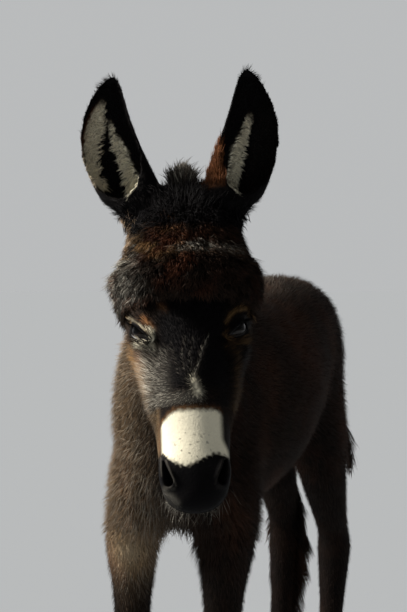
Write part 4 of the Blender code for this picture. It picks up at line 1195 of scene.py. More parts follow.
def hair_finish(name, root, tip, roughness, bump=0.0):
    """Keratin hair, or the skin below it, coloured by the weights stored on the mesh."""
    material, tree, shader = new_material(name)
    marks = add(tree, "ShaderNodeAttribute", {"attribute_name": "marks"})
    strand = add(tree, "ShaderNodeAttribute", {"attribute_name": "strand"})
    weights = add(tree, "ShaderNodeSeparateColor", links={0: marks.outputs["Color"]})
    growth = add(tree, "ShaderNodeSeparateColor", links={0: strand.outputs["Color"]})
    where = add(tree, "ShaderNodeTexCoord")
    speckle = add(tree, "ShaderNodeTexNoise", {"Scale": 420.0, "Detail": 3.0, "Roughness": 0.6},
                  {"Vector": where.outputs["Object"]})
    shade = add(tree, "ShaderNodeMapRange", {1: 0.25, 2: 0.75, 3: 0.72, 4: 1.30}, {0: speckle.outputs["Fac"]})
    towards_tip = add(tree, "ShaderNodeMapRange", {1: 0.0, 2: 0.45}, {0: growth.outputs[0]})

    def at_tips(weight):
        """A weight that fades out towards the root."""
        return add(tree, "ShaderNodeMath", {"operation": "MULTIPLY"},
                   {0: weight, 1: towards_tip.outputs[0]}).outputs[0]

    def blend(first, second, factor):
        """The second colour laid over the first by a factor; a colour is a socket or a code."""
        settings = {"data_type": "RGBA"}
        links = {0: factor}
        for place, colour in ((6, first), (7, second)):
            if isinstance(colour, str):
                settings[place] = linear(colour)
            else:
                links[place] = colour
        return add(tree, "ShaderNodeMix", settings, links).outputs[2]

    colour = blend(root, tip, growth.outputs[0])
    colour = blend(colour, RED_HAIR, at_tips(weights.outputs[2]))
    colour = blend(colour, SILVER_HAIR_AND_PAINTED_SUN, at_tips(marks.outputs["Alpha"]))
    colour = blend(colour, TAN_HAIR, at_tips(weights.outputs[1]))
    colour = blend(colour, PALE_HAIR, weights.outputs[0])
    colour = blend(colour, BLACK_HAIR_AND_PAINTED_SHADE, growth.outputs[2])
    bright = add(tree, "ShaderNodeMath", {"operation": "MULTIPLY"},
                 {0: shade.outputs[0], 1: growth.outputs[1]})
    even = add(tree, "ShaderNodeMath", {"operation": "MULTIPLY", 1: 0.75}, {0: weights.outputs[0]})
    level = add(tree, "ShaderNodeMix", {3: 1.0}, {0: even.outputs[0], 2: bright.outputs[0]})
    tone = add(tree, "ShaderNodeVectorMath", {"operation": "SCALE"}, {0: colour, "Scale": level.outputs[0]})
    tree.links.new(tone.outputs[0], shader.inputs["Base Color"])
    shader.inputs["IOR"].default_value = HAIR_IOR
    shader.inputs["Roughness"].default_value = roughness
    shader.inputs["Specular IOR Level"].default_value = 0.06
    if bump:
        grain = add(tree, "ShaderNodeBump", {"Strength": bump, "Distance": 0.0006},
                    {"Height": speckle.outputs["Fac"]})
        tree.links.new(grain.outputs[0], shader.inputs["Normal"])
    return material


coat_hair = hair_finish("woolly_keratin_hair", "0c0908", "36291f", HAIR_ROUGHNESS)
# The skin's colours are darker than the hair's: dark skin, and painted shade between the tufts.
bare_skin = hair_finish("dull_skin_with_down", "090706", "221a15", SKIN_ROUGHNESS, 0.6)
print("hair IOR", HAIR_IOR, "and roughness", HAIR_ROUGHNESS, "and skin roughness", SKIN_ROUGHNESS)

# %% [markdown]
# The skin carries two colour attributes: one with the markings, one that tells how it grows, which is low on
# the tip share and on brightness, with less silver. The skin is dark in its own right and is made darker
# still, as painted shade between the tufts.

# %% The skin's finish
# Painted shade: a low tip share, lower brightness and less silver darken the skin seen between the tufts.
SKIN_TIP = 0.35
SKIN_BRIGHTNESS = 0.8
SKIN_SILVER = 0.35


def write_weights(mesh, marks, tip, shade):
    """Stores the markings, and the share of tip, brightness and black, on the mesh's points."""
    first = mesh.color_attributes.new("marks", "FLOAT_COLOR", "POINT")
    second = mesh.color_attributes.new("strand", "FLOAT_COLOR", "POINT")
    first.data.foreach_set("color", marks[:, :4].astype(np.float32).ravel())
    growth = np.stack([tip, shade, marks[:, 4], np.ones(len(tip))], axis=1)
    second.data.foreach_set("color", growth.astype(np.float32).ravel())


flesh.name = "skin"
skin_points = points
skin_ups = read_normals(flesh.data)
flesh.data.shade_smooth()
skin_marks = markings(skin_points, skin_ups)
skin_marks[:, 3] *= SKIN_SILVER
write_weights(flesh.data, skin_marks, np.full(len(points), SKIN_TIP), np.full(len(points), SKIN_BRIGHTNESS))
flesh.data.calc_loop_triangles()
corners = np.empty(len(flesh.data.loop_triangles) * 3, dtype=np.int32)
flesh.data.loop_triangles.foreach_get("vertices", corners)
corners = corners.reshape(-1, 3)
settle(flesh, bare_skin, "coat", "head", "neck", "torso", "tail", "ear_left", "ear_right",
       "foreleg_left", "foreleg_right", "hindleg_left", "hindleg_right")

# %% [markdown]
# ## Eyes
# A donkey's eye is large, dark brown and wet, with a pupil that is wider than high. The ball
# is a sphere of fine rings round the way it looks, whose clear front bulges by a millimetre.

# %% Eyes
CORNEA_BULGE = 0.0009
CORNEA_ANGLE = math.radians(38)
IRIS_HALF = 0.0098
PUPIL = (0.0058, 0.0034)

wet_eye, tree, shader = new_material("wet_eye")
gaps = add(tree, "ShaderNodeAttribute", {"attribute_name": "gaps"})
parts = add(tree, "ShaderNodeSeparateColor", links={0: gaps.outputs["Color"]})
spokes = add(tree, "ShaderNodeTexNoise", {"Scale": 900.0, "Detail": 2.0})
brown = add(tree, "ShaderNodeMix", {"data_type": "RGBA", 6: linear("1d140d"), 7: linear("0e0906")},
            {0: spokes.outputs["Fac"]})
rim = add(tree, "ShaderNodeMix", {"data_type": "RGBA", 7: linear("120d0b")},
          {0: parts.outputs[0], 6: brown.outputs[2]})
ball_colour = add(tree, "ShaderNodeMix", {"data_type": "RGBA", 6: linear("020203")},
                  {0: parts.outputs[1], 7: rim.outputs[2]})
tree.links.new(ball_colour.outputs[2], shader.inputs["Base Color"])
shader.inputs["Roughness"].default_value = 0.05
shader.inputs["IOR"].default_value = 1.38


def eyeball(name, sign):
    looks = eye_axes(sign)[0]
    level = UP.cross(looks).normalized()
    upright = looks.cross(level)
    builder = bmesh.new()
    bmesh.ops.create_uvsphere(builder, u_segments=64, v_segments=72, radius=EYE_RADIUS)
    turn = Matrix((level, upright, looks)).transposed()
    gap_values = []
    builder.verts.ensure_lookup_table()
    for vert in builder.verts:
        lean = math.acos(max(-1.0, min(1.0, vert.co.z / EYE_RADIUS)))
        bulge = CORNEA_BULGE * max(0.0, 1 - (lean / CORNEA_ANGLE) ** 2)
        iris = ramp(np.array(math.hypot(vert.co.x, vert.co.y)), IRIS_HALF - 0.0006, IRIS_HALF + 0.0006)
        pupil = math.hypot(vert.co.x / PUPIL[0], vert.co.y / PUPIL[1])
        gap_values.append((float(iris), float(ramp(np.array(pupil), 0.9, 1.15)), 0.0, 1.0))
        vert.co = eye_centre(sign) + turn @ (vert.co * (1 + bulge / EYE_RADIUS))
    obj = object_from(name, builder)
    layer = obj.data.color_attributes.new("gaps", "FLOAT_COLOR", "POINT")
    layer.data.foreach_set("color", np.array(gap_values, dtype=np.float32).ravel())
    obj.data.shade_smooth()
    return obj


for side, sign in SIDES.items():
    settle(eyeball("eyeball_" + side, sign), wet_eye, "eye", "eye_" + side)

# %% [markdown]
# Bare, damp skin edges the lids. It is swept as a thin round cord along the almond, resting
# half on the ball, so that no gap shows between the lid and the eye.

# %% Lid rims
RIM_HALF = 0.0010
RIM_LIFT = 0.0008
damp_skin, tree, shader = new_material("damp_black_skin")
grain = add(tree, "ShaderNodeTexNoise", {"Scale": 700.0, "Detail": 2.0})
tint = add(tree, "ShaderNodeMix", {"data_type": "RGBA", 6: linear("0b0909"), 7: linear("1d1817")},
           {0: grain.outputs["Fac"]})
tree.links.new(tint.outputs[2], shader.inputs["Base Color"])
shader.inputs["Roughness"].default_value = 0.32
shader.inputs["IOR"].default_value = 1.4


def lid_line(sign, angle, lift):
    """A point on the edge of the lids, so far above the eyeball."""
    looks, longways, shortways = eye_axes(sign)
    rise = math.sin(angle) * abs(math.sin(angle)) ** 0.3
    wide, tall = EYE_HALF * math.cos(angle), float(lid_height(rise, sign)) * rise
    reach = EYE_RADIUS + lift
    ahead = math.sqrt(max(reach**2 - wide**2 - tall**2, 1e-8))
    return eye_centre(sign) + looks * ahead + longways * wide + shortways * tall


def lid_rim(name, sign):
    steps, around = 72, 10
    builder = bmesh.new()
    rings = []
    for k in range(steps):
        here = lid_line(sign, 2 * math.pi * k / steps, RIM_LIFT)
        after = lid_line(sign, 2 * math.pi * (k + 1) / steps, RIM_LIFT)
        travel = (after - here).normalized()
        away = (here - eye_centre(sign)).normalized()
        side = travel.cross(away).normalized()
        rings.append([
            builder.verts.new(here + RIM_HALF * (away * math.cos(a) + side * math.sin(a)))
            for a in (2 * math.pi * j / around for j in range(around))
        ])
    for k, ring in enumerate(rings):
        after = rings[(k + 1) % steps]
        for j in range(around):
            i = (j + 1) % around
            builder.faces.new((ring[j], ring[i], after[i], after[j]))
    obj = object_from(name, builder)
    obj.data.shade_smooth()
    return obj


for side, sign in SIDES.items():
    settle(lid_rim("lid_rim_" + side, sign), damp_skin, "coat")

# %% [markdown]
# ## Hooves
# A foal's hoof is a narrow, upright box of horn. It grows down from the coronet, which leaves
# faint rings round it and fine tubes down it. The rings are real ripples in the mesh; the
# tubes, less than a millimetre apart, are bump.

# %% Hooves
HOOF_AROUND = 56
HOOF_LEVELS = 40
WALL_TOP = CORONET_Z - 0.00015
RING_PITCH = 0.0052
RING_SWELL = 0.010
hoof_horn, tree, shader = new_material("hoof_horn")
where = add(tree, "ShaderNodeTexCoord")
stretch = add(tree, "ShaderNodeMapping", {"Scale": (1.0, 1.0, 0.08)}, {"Vector": where.outputs["Object"]})
tubules = add(tree, "ShaderNodeTexNoise", {"Scale": 1500.0, "Detail": 3.0}, {"Vector": stretch.outputs[0]})
clouds = add(tree, "ShaderNodeTexNoise", {"Scale": 60.0, "Detail": 4.0}, {"Vector": where.outputs["Object"]})
dark = add(tree, "ShaderNodeMix", {"data_type": "RGBA", 6: linear("14110f"), 7: linear("2a2521")},
           {0: clouds.outputs["Fac"]})
streak = add(tree, "ShaderNodeMapRange", {1: 0.45, 2: 0.75, 3: 0.0, 4: 0.6}, {0: tubules.outputs["Fac"]})
horn_colour = add(tree, "ShaderNodeMix", {"data_type": "RGBA", 7: linear("4a4138")},
                  {0: streak.outputs[0], 6: dark.outputs[2]})
tree.links.new(horn_colour.outputs[2], shader.inputs["Base Color"])
ridge = add(tree, "ShaderNodeBump", {"Strength": 0.4, "Distance": 0.0002}, {"Height": tubules.outputs["Fac"]})
tree.links.new(ridge.outputs[0], shader.inputs["Normal"])
shader.inputs["Roughness"].default_value = 0.52
shader.inputs["IOR"].default_value = 1.55
shader.inputs["Specular IOR Level"].default_value = 0.20


def hoof(name, leg, sign, x, y):
    """A hoof wall through the solid's own sections, with growth rings and a cupped sole."""
    aside, behind = stance(leg, sign, CORONET_Z)
    x, y = sign * x + aside, y + behind
    sections = np.array([
        (0.0, 0.0262, 0.0370, 0.0250),
        (0.0025, 0.0270, 0.0372, 0.0256),
        (CORONET_Z * 0.5, 0.0258, 0.0325, 0.0258),
        (CORONET_Z - 0.004, 0.0246, 0.0285, 0.0262),
        (WALL_TOP, 0.0232, 0.0266, 0.0246),
    ])
    levels = np.linspace(0, WALL_TOP, HOOF_LEVELS)
    wall = [(z, *(np.interp(z, sections[:, 0], sections[:, k]) for k in (1, 2, 3))) for z in levels]
    cupped_sole = (0.0015, 0.020, 0.029, 0.018)
    under_hair = (CORONET_Z, 0.018, 0.020, 0.018)
    builder = bmesh.new()
    rings = []
    for z, side, front, back in [cupped_sole, *wall, under_hair]:
        swell = math.sin(z * 2 * math.pi / RING_PITCH + 0.7 * math.sin(z * 300))
        grown = 1 + RING_SWELL * swell * (0.002 < z < 0.034)
        ring = []
        for k in range(HOOF_AROUND):
            angle = 2 * math.pi * k / HOOF_AROUND
            c, s = rounded(math.cos(angle), 0.9), rounded(math.sin(angle), 0.9)
            depth = front if s > 0 else back
            ring.append(builder.verts.new((x + side * grown * c, y - s * depth * grown, z)))
        rings.append(ring)
    for first, second in zip(rings, rings[1:]):
        for k in range(HOOF_AROUND):
            j = (k + 1) % HOOF_AROUND
            builder.faces.new((first[k], first[j], second[j], second[k]))
    builder.faces.new(rings[0])
    builder.faces.new(list(reversed(rings[-1])))
    obj = object_from(name, builder)
    obj.data.shade_smooth()
    return obj


for side, sign in SIDES.items():
    fore = hoof("hoof_wall_fore_" + side, "foreleg", sign, FORE_X, FORE_Y - HOOF_STEP)
    hind = hoof("hoof_wall_hind_" + side, "hindleg", sign, HIND_X, HIND_Y + 0.028)
    settle(fore, hoof_horn, "horn", "hoof_fore_" + side)
    settle(hind, hoof_horn, "horn", "hoof_hind_" + side)

# %% [markdown]
# ## Tufts
# Hair that an export must keep has to be mesh. Single hairs would be far too many, so each
# tuft is a thin tapered blade of three sides, about as wide as twenty hairs. Its middle line
# leaves the skin along the lie of the coat, rises, and bends back. Arrays hold all tufts of
# a piece at once. Tufts nearby lean together into wisps, as woolly hair does.

# %% Growing tufts
QUICK_SHARE = 1.0
SUNK = 0.0012
PATCH = 0.003


def scatter(count, weight, seed):
    """Roots spread over the skin as the weight of each triangle says, and the skin's way there."""
    draw = np.random.default_rng(seed)
    a, b, c = (skin_points[corners[:, k]] for k in range(3))
    area = np.linalg.norm(np.cross(b - a, c - a), axis=1) / 2
    reach = np.cumsum(area * weight)
    count = int(count * QUICK_SHARE)
    pick = (np.arange(count) + draw.random(count)) / count * reach[-1]
    which = np.searchsorted(reach, pick)
    first, second = draw.random((2, count))
    over = first + second > 1
    first, second = np.where(over, 1 - first, first), np.where(over, 1 - second, second)
    shares = np.stack([1 - first - second, first, second], axis=1)
    roots = (skin_points[corners[which]] * shares[:, :, None]).sum(1)
    ups = unit((skin_ups[corners[which]] * shares[:, :, None]).sum(1))
    return roots, ups


def middle_lines(roots, ups, lies, length, lift, bend, wave, rows, seed):
    """The middle line of each tuft: along the skin, up from it by lift less bend, and wavy."""
    draw = np.random.default_rng(seed)
    flat = unit(lies - ups * dot(lies, ups)[:, None])
    side = np.cross(flat, ups)
    share = np.linspace(0, 1, rows)[None, :]
    phase = draw.uniform(0, 2 * np.pi, len(roots))[:, None]
    rise = length[:, None] * (lift[:, None] * share - bend[:, None] * share**2)
    sway = (length * wave)[:, None] * np.sin(phase + 5.0 * share) * share
    reach = length[:, None] * share
    lines = roots[:, None] + flat[:, None] * reach[:, :, None]
    lines += ups[:, None] * (rise - SUNK * (share < 1e-6))[:, :, None] + side[:, None] * sway[:, :, None]
    return lines


def gather(lines, roots, wisps, strength, seed):
    """Leans each tuft towards the one at the heart of its wisp, more so at the tip."""
    draw = np.random.default_rng(seed)
    hearts = draw.choice(len(roots), min(wisps, len(roots)), replace=False)
    tree = KDTree(len(hearts))
    for k, root in enumerate(roots[hearts].tolist()):
        tree.insert(root, k)
    tree.balance()
    nearest = hearts[[tree.find(root)[1] for root in roots.tolist()]]
    share = np.linspace(0, 1, lines.shape[1])[None, :, None]
    aim = lines[nearest] + 0.25 * (roots - roots[nearest])[:, None]
    return lines + (aim - lines) * strength * share**1.2


def unwrap(roots, ups):
    """A box unwrap of the skin: six fields in one square, one for each way the skin faces."""
    low, high = roots.min(0), roots.max(0)
    place = (roots - low) / (high - low + 1e-6)
    every = np.arange(len(roots))
    main = np.abs(ups).argmax(1)
    field = main * 2 + (ups[every, main] > 0)
    across = (field % 3 + 0.03 + 0.94 * place[every, (main + 1) % 3]) / 3
    upwards = (field // 3 + 0.03 + 0.94 * place[every, (main + 2) % 3]) / 2
    return np.stack([across, upwards], axis=1)


def tufts(name, roots, ups, lines, width, shade=0.22, clump=0.15, flatness=0.35, seed=0):
    """One joined mesh of closed, tapered, three-sided blades along the middle lines."""
    draw = np.random.default_rng(seed)
    count, rows = lines.shape[:2]
    travel = unit(np.gradient(lines, axis=1))
    side = unit(np.cross(travel, ups[:, None]))
    out = np.cross(side, travel)
    taper = np.interp(np.linspace(0, 1, rows), [0, 0.4, 0.75, 1], [0.75, 1.0, 0.62, 0.0])[:-1]
    half = (width[:, None] * taper / 2)[:, :, None]
    middle = lines[:, :-1]
    rings = np.stack([
        middle - side[:, :-1] * half,
        middle + side[:, :-1] * half,
        middle + out[:, :-1] * half * 2 * flatness,
    ], axis=2).reshape(count, -1, 3)
    verts = np.concatenate([rings, lines[:, -1:]], axis=1)
    size = verts.shape[1]
    pattern = [(0, 1, 2)]
    for k in range(rows - 2):
        for i, j in ((0, 1), (1, 2), (2, 0)):
            a, b, c, d = 3 * k + i, 3 * k + j, 3 * k + 3 + j, 3 * k + 3 + i
            pattern += [(b, a, d), (b, d, c)]
    last = 3 * (rows - 2)
    pattern += [(last + j, last + i, size - 1) for i, j in ((0, 1), (1, 2), (2, 0))]
    faces = (np.arange(count)[:, None, None] * size + np.array(pattern)).reshape(-1, 3)

    mesh = bpy.data.meshes.new(name)
    mesh.vertices.add(count * size)
    mesh.vertices.foreach_set("co", verts.astype(np.float32).ravel())
    mesh.loops.add(faces.size)
    mesh.loops.foreach_set("vertex_index", faces.astype(np.int32).ravel())
    mesh.polygons.add(len(faces))
    mesh.polygons.foreach_set("loop_start", np.arange(0, faces.size, 3, dtype=np.int32))
    mesh.update(calc_edges=True)

    share = np.append(np.repeat(np.linspace(0, 1, rows)[:-1], 3), 1.0)
    corner = np.append(np.tile([-1.0, 1.0, 0.0], rows - 1), 0.0)
    spread = np.stack([corner * PATCH / 2, (share - 0.5) * PATCH], axis=1)
    flat = (unwrap(roots, ups)[:, None] + spread).reshape(-1, 2)
    layer = mesh.uv_layers.new(name="OFBake")
    layer.data.foreach_set("uv", flat[faces.ravel()].astype(np.float32).ravel())
    marks = markings(roots, ups)
    marks[:, 0] *= draw.uniform(0.85, 1.05, count)
    marks[:, 1] *= draw.uniform(0.50, 1.45, count)
    marks[:, 3] *= draw.choice([0.25, 0.6, 1.9], count)
    marks = np.clip(marks, 0, 1)
    bright = draw.uniform(1 - shade, 1 + shade, count) * (1 + clump * ripple(roots, 0.010, 21))
    write_weights(mesh, np.repeat(marks, size, axis=0), np.tile(share, count), np.repeat(bright, size))
    mesh.polygons.foreach_set("use_smooth", np.ones(len(faces), dtype=bool))
    obj = bpy.data.objects.new(name, mesh)
    bpy.context.scene.collection.objects.link(obj)
    settle(obj, coat_hair, "coat" if "tail" not in name else "long_hair")


# %% [markdown]
# ## Lie and length of the coat
# Hair lies backwards and down on the trunk, straight down the legs and up the ears. On the
# face it spreads from a whorl between the eyes and the nose band. It is about 12 mm long on
# the trunk, longer under the chest, about 9 mm on the legs, 11 mm on the cheeks and 2 mm on
# the muzzle.

# %% Fields of lie and length


def blend_ways(first, second, share):
    return first + (second - first) * share[:, None]


def ear_ways(sign):
    """Up the ear, the way it opens, and away from the head's middle."""
    up, opens, wing = (np.array(way) for way in ear_axes(sign))
    return up, opens, wing * np.sign(wing @ axis["across"] * sign)


def coat_lie(points):
    """The way hair points at each place."""
    along, across, out = head_place(points)
    ones = np.ones((len(points), 1))
    lie = ones * np.array([0.0, 0.80, -0.50])
    chest = np.stack([np.sign(points[:, 0]) * 0.25, 0.15 + 0 * out, -1 + 0 * out], axis=1)
    lie = blend_ways(lie, chest, ramp(-points[:, 1], 0.13, 0.21))
    lie = blend_ways(lie, ones * np.array([0.0, 0.55, -0.80]), ramp(points[:, 1], 0.15, 0.27))
    lie = blend_ways(lie, ones * np.array([0.0, 0.12, -1.0]), leg_share(points))
    neck = ones * (-axis["ahead"] * 0.85 - axis["up"] * 0.50)
    behind = (np.array(HEAD_CUT) - points) @ axis["ahead"]
    lie = blend_ways(lie, neck, (1 - ramp(behind, 0.06, 0.14)) * ramp(points[:, 2], 0.56, 0.63))
    spread = np.stack([along - WHORL[0], across - WHORL[1]], axis=1)
    spread = unit(spread)
    face = spread[:, :1] * axis["along"] + spread[:, 1:] * axis["across"]
    cheek = face * 0.45 - axis["out"]
    face = blend_ways(face, cheek, ramp(-out, -0.022, 0.015))
    lie = blend_ways(lie, face, head_share(points))
    for sign in (-1, 1):
        up, _, outwards = ear_ways(sign)
        share, outer = ear_place(points, sign)[:2]
        fan = ramp(share, 0.82, 0.97) * np.clip(outer / 0.008, -1, 1)
        lie = blend_ways(lie, up + 1.1 * fan[:, None] * outwards, ear_share(points, sign))
    return blend_ways(lie, ones * -axis["up"], tail_share(points))


def cheek_share(points):
    """One on the fluffy cheeks below the eyes."""
    along, across = head_place(points)[:2]
    down_to_nose = ramp(along, 0.140, 0.162) * (1 - ramp(along, 0.205, 0.270))
    return down_to_nose * ramp(np.abs(across), 0.028, 0.042) * head_share(points)


def stand_out(points):
    """How much steeper than elsewhere the hair stands: more on the cheeks, less on the nose."""
    along = head_place(points)[0]
    on_band = ramp(along, 0.212, 0.228) * (1 - cheek_share(points)) * head_share(points)
    return 1 + 0.9 * cheek_share(points) - 0.6 * on_band


def coat_length(points):
    """How long the hair is at each place, in metres."""
    along, across, out = head_place(points)
    length = np.interp(points[:, 2], [0.036, 0.06, 0.09, 0.12, 0.25, 0.36, 0.46],
                       [5, 7, 9.5, 8, 9, 10.5, 12.5])
    head = np.interp(along, [0.0, 0.10, 0.14, 0.17, 0.21, 0.25, 0.28, 0.31],
                     [13, 11, 7.5, 6.5, 5.5, 3.4, 2.2, 2])
    head = head + 5.0 * ramp(-out, -0.005, 0.03) * (1 - ramp(along, 0.20, 0.27)) + 5.5 * cheek_share(points)
    head = head + 6.0 * ramp(-out, -0.002, 0.012) * ramp(along, 0.268, 0.288)
    head = head + 4.0 * beside(along, across, LIP_STRIP, 0.0055)
    length = length + 26.0 * spot(points, (0.0, -0.175, 0.430), 0.060)
    length = length + (head - length) * head_share(points)
    for sign in (-1, 1):
        near_tip = ramp(ear_place(points, sign)[0], 0.80, 0.97)
        length = length + (5.0 + 3.5 * near_tip - length) * ear_share(points, sign)
    length = length + (20.0 - length) * tail_share(points)
    return length * 0.001


middle_points = skin_points[corners].mean(1)
middle_ups = unit(skin_ups[corners].mean(1))


def grow_coat(name, count, weight, rows, seed, lift=0.52, bend=0.16, wisp=0.35, loose=0.18):
    """The short coat where a weight says, with its own lie and length at every place."""
    draw = np.random.default_rng(seed)
    roots, ups = scatter(count, weight, seed)
    number = len(roots)
    length = coat_length(roots) * draw.uniform(0.70, 1.2, number)
    lies = coat_lie(roots) + 0.20 * np.stack([ripple(roots, 0.035, seed + k) for k in (11, 12, 13)], axis=1)
    lies = unit(lies) + draw.normal(size=(number, 3)) * loose
    lines = middle_lines(roots, ups, lies, length, lift * stand_out(roots) * draw.uniform(0.6, 1.4, number),
                         bend * draw.uniform(0.5, 1.5, number), np.full(number, 0.06), rows, seed + 1)
    lines = gather(lines, roots, number // 5, wisp, seed + 2)
    width = (0.00040 + length * 0.055) * draw.uniform(0.75, 1.25, number)
    tufts(name, roots, ups, lines, width, seed=seed + 3)


def off_head(points):
    return (1 - head_share(points)) * (1 - ears_share(points))


def trunk_between(points, start, end):
    """A weight on trunk and neck between two places along the body, clear of the legs."""
    inside = (points[:, 1] >= start) & (points[:, 1] < end)
    return inside * (off_head(points) > 0.02) * (leg_share(points) < 0.5) * (tail_share(points) < 0.5)


def on_leg(points, fore, sign):
    fore_side = points[:, 1] < 0.03
    return (leg_share(points) >= 0.5) * (fore_side == fore) * (points[:, 0] * sign > 0.004 * sign)


def on_face(points, sign):
    """A weight on one half of the head below the brow's wool, clear of lids and nostrils."""
    along, across, out = head_place(points)
    inside = (head_share(points) > 0.02) * (ears_share(points) < 0.5)
    inside = inside * (across * sign >= 0)
    inside = inside * np.interp(along, [0.10, 0.16, 0.25, 0.275, 0.29], [0.5, 1, 1.5, 1.0, 0.55])
    wide, tall, ahead = eye_place(points, sign)
    inside = inside * ((almond(wide, tall, sign) > 0.0024) | (ahead < 0))
    gap = nostril_gap(along, across * sign)
    return inside * ((gap > 0.0012) | (out < 0.0) | (along < 0.25))


def on_ear_back(points, ups, sign):
    return (ear_share(points, sign) >= 0.5) * (1 - 0.8 * ear_cup(points, ups, sign))


def on_tail(points):
    return (tail_share(points) >= 0.5) * 1.0


for name, start, end, count, seed in (
    ("coat_chest", -1.0, -0.15, 33000, 100), ("coat_shoulder", -0.15, -0.03, 29000, 200),
    ("coat_barrel", -0.03, 0.12, 31000, 300), ("coat_rump", 0.12, 1.0, 31000, 400),
):
    weight = trunk_between(middle_points, start, end)
    grow_coat(name, count, weight, 2, seed, lift=0.70, loose=0.36, wisp=0.25)
for side, sign in SIDES.items():
    grow_coat("coat_foreleg_" + side, 11000, on_leg(middle_points, True, sign), 2, 500 + sign)
    grow_coat("coat_hindleg_" + side, 11000, on_leg(middle_points, False, sign), 2, 600 + sign)
    grow_coat("coat_face_" + side, 25000, on_face(middle_points, sign), 2, 700 + sign, lift=0.42)
    ear_back = on_ear_back(middle_points, middle_ups, sign)
    grow_coat("coat_ear_" + side, 7500, ear_back, 2, 800 + sign, lift=0.40)
grow_coat("coat_tail_root", 3000, on_tail(middle_points), 3, 900)

# %% [markdown]
# ## Shaggy brow
# Long woolly hair covers the brow from the poll to just above the eyes. Its locks hang down
# the face and out to its sides, curl a little, and end in fine points of redder hair.

# %% Brow wool


def brow_weight(points, sign):
    along, across, out = head_place(points)
    lower = along - 0.008 * ramp(np.abs(across), 0.030, 0.050)
    inside = ramp(along, 0.004, 0.030) * (1 - ramp(lower, 0.102, 0.116)) * (1 - ears_share(points))
    inside = inside * head_share(points)
    return inside * ramp(out, -0.035, -0.010) * (across * sign >= 0)


def brow_lie(points):
    across = head_place(points)[1]
    down = np.ones((len(points), 1)) * axis["along"]
    return down + (across / 0.066)[:, None] * 0.45 * axis["across"]


for side, sign in SIDES.items():
    seed = 1000 + 50 * (sign + 1)
    roots, ups = scatter(12000, brow_weight(middle_points, sign), seed)
    draw = np.random.default_rng(seed + 1)
    number = len(roots)
    along = head_place(roots)[0]
    length = 0.001 * np.interp(along, [0.0, 0.03, 0.07, 0.10, 0.115], [11, 16, 19, 17, 12])
    length *= draw.uniform(0.6, 1.15, number)
    lies = unit(brow_lie(roots)) + 0.45 * np.stack([ripple(roots, 0.014, 1010 + k) for k in range(3)], axis=1)
    lies += draw.normal(size=(number, 3)) * 0.26
    lines = middle_lines(roots, ups, lies, length, draw.uniform(0.60, 1.20, number),
                         draw.uniform(0.20, 0.55, number), np.full(number, 0.16), 3, seed + 2)
    lines = gather(lines, roots, number // 9, 0.50, seed + 3)
    tufts("brow_wool_" + side, roots, ups, lines, 0.00110 * draw.uniform(0.6, 1.3, number),
          shade=0.45, clump=0.45, seed=seed + 4)

# %% [markdown]
# ## Hair in the ears
# Soft hair about 10 mm long grows from both sides of the cup towards the hollow, whose black is painted
# shade. The outer strip is combed across the ear. The inner one hangs over the hollow in ragged tips.

# %% Ear hair
for side, sign in SIDES.items():
    seed = 1400 + 50 * (sign + 1)
    weight = ear_cup(middle_points, middle_ups, sign) * (ear_place(middle_points, sign)[0] < 0.92)
    roots, ups = scatter(5500, weight, seed)
    draw = np.random.default_rng(seed + 1)
    number = len(roots)
    share, outer = ear_place(roots, sign)[:2]
    marks = markings(roots, ups)
    cream = np.clip(marks[:, 0] + marks[:, 1], 0, 1)
    hangs = (1 - ramp(share, 0.10, 0.30)) * (marks[:, 0] > 0.5)
    length = 3.5 + cream * np.interp(share, [0.0, 0.4, 0.8], [7, 5, 2]) + 6 * hangs
    length *= 0.001 * draw.uniform(0.7, 1.2, number)
    up, opens, outwards = ear_ways(sign)
    over = -np.sign(outer)[:, None] * outwards
    lies = over * 0.9 + opens * 0.25 + up * (np.where(outer > 0, 0.25, -0.35) - 0.9 * hangs)[:, None]
    lies = lies * cream[:, None] + up * (1 - cream)[:, None] + draw.normal(size=(number, 3)) * 0.18
    lines = middle_lines(roots, ups, lies, length, draw.uniform(0.25, 0.60, number),
                         draw.uniform(0.05, 0.35, number), np.full(number, 0.08), 3, seed + 2)
    lines = gather(lines, roots, number // 9, 0.45, seed + 3)
    tufts("ear_hair_" + side, roots, ups, lines, 0.0010 * draw.uniform(0.6, 1.3, number),
          shade=0.30, seed=seed + 4)

# %% [markdown]
# ## Poll, mane and tail
# A foal's mane is short and stands up by itself. Between the ears it ends in a loose, wispy
# tuft. The tail is thin at its root and ends in a tassel of longer hair.

# %% Poll tuft


def poll_weight(points):
    along, across, out = head_place(points)
    middle = np.exp(-((along + 0.012) / 0.020) ** 2 - (across / 0.026) ** 2)
    return middle * (out > -0.02) * (1 - ears_share(points))


roots, ups = scatter(1300, poll_weight(middle_points), 1100)
draw = np.random.default_rng(1101)
number = len(roots)
fan = head_place(roots)[1] / 0.030
lies = (np.ones((number, 1)) * axis["up"] + (fan * 0.75)[:, None] * axis["across"]
        + axis["ahead"] * draw.uniform(-0.4, 0.7, number)[:, None])
lies += draw.normal(size=(number, 3)) * 0.20
length = 0.001 * draw.uniform(13, 33, number) * (1 - 0.25 * np.clip(fan, -1, 1) ** 2)
lift = draw.uniform(0.7, 1.5, number)
lines = middle_lines(roots, ups, lies, length * 0.75, lift, lift * 0.45, np.full(number, 0.10), 4, 1102)
lines = gather(lines, roots, number // 12, 0.35, 1103)
tufts("poll_tuft", roots, ups, lines, 0.00075 * draw.uniform(0.6, 1.3, number), shade=0.35, seed=1104)

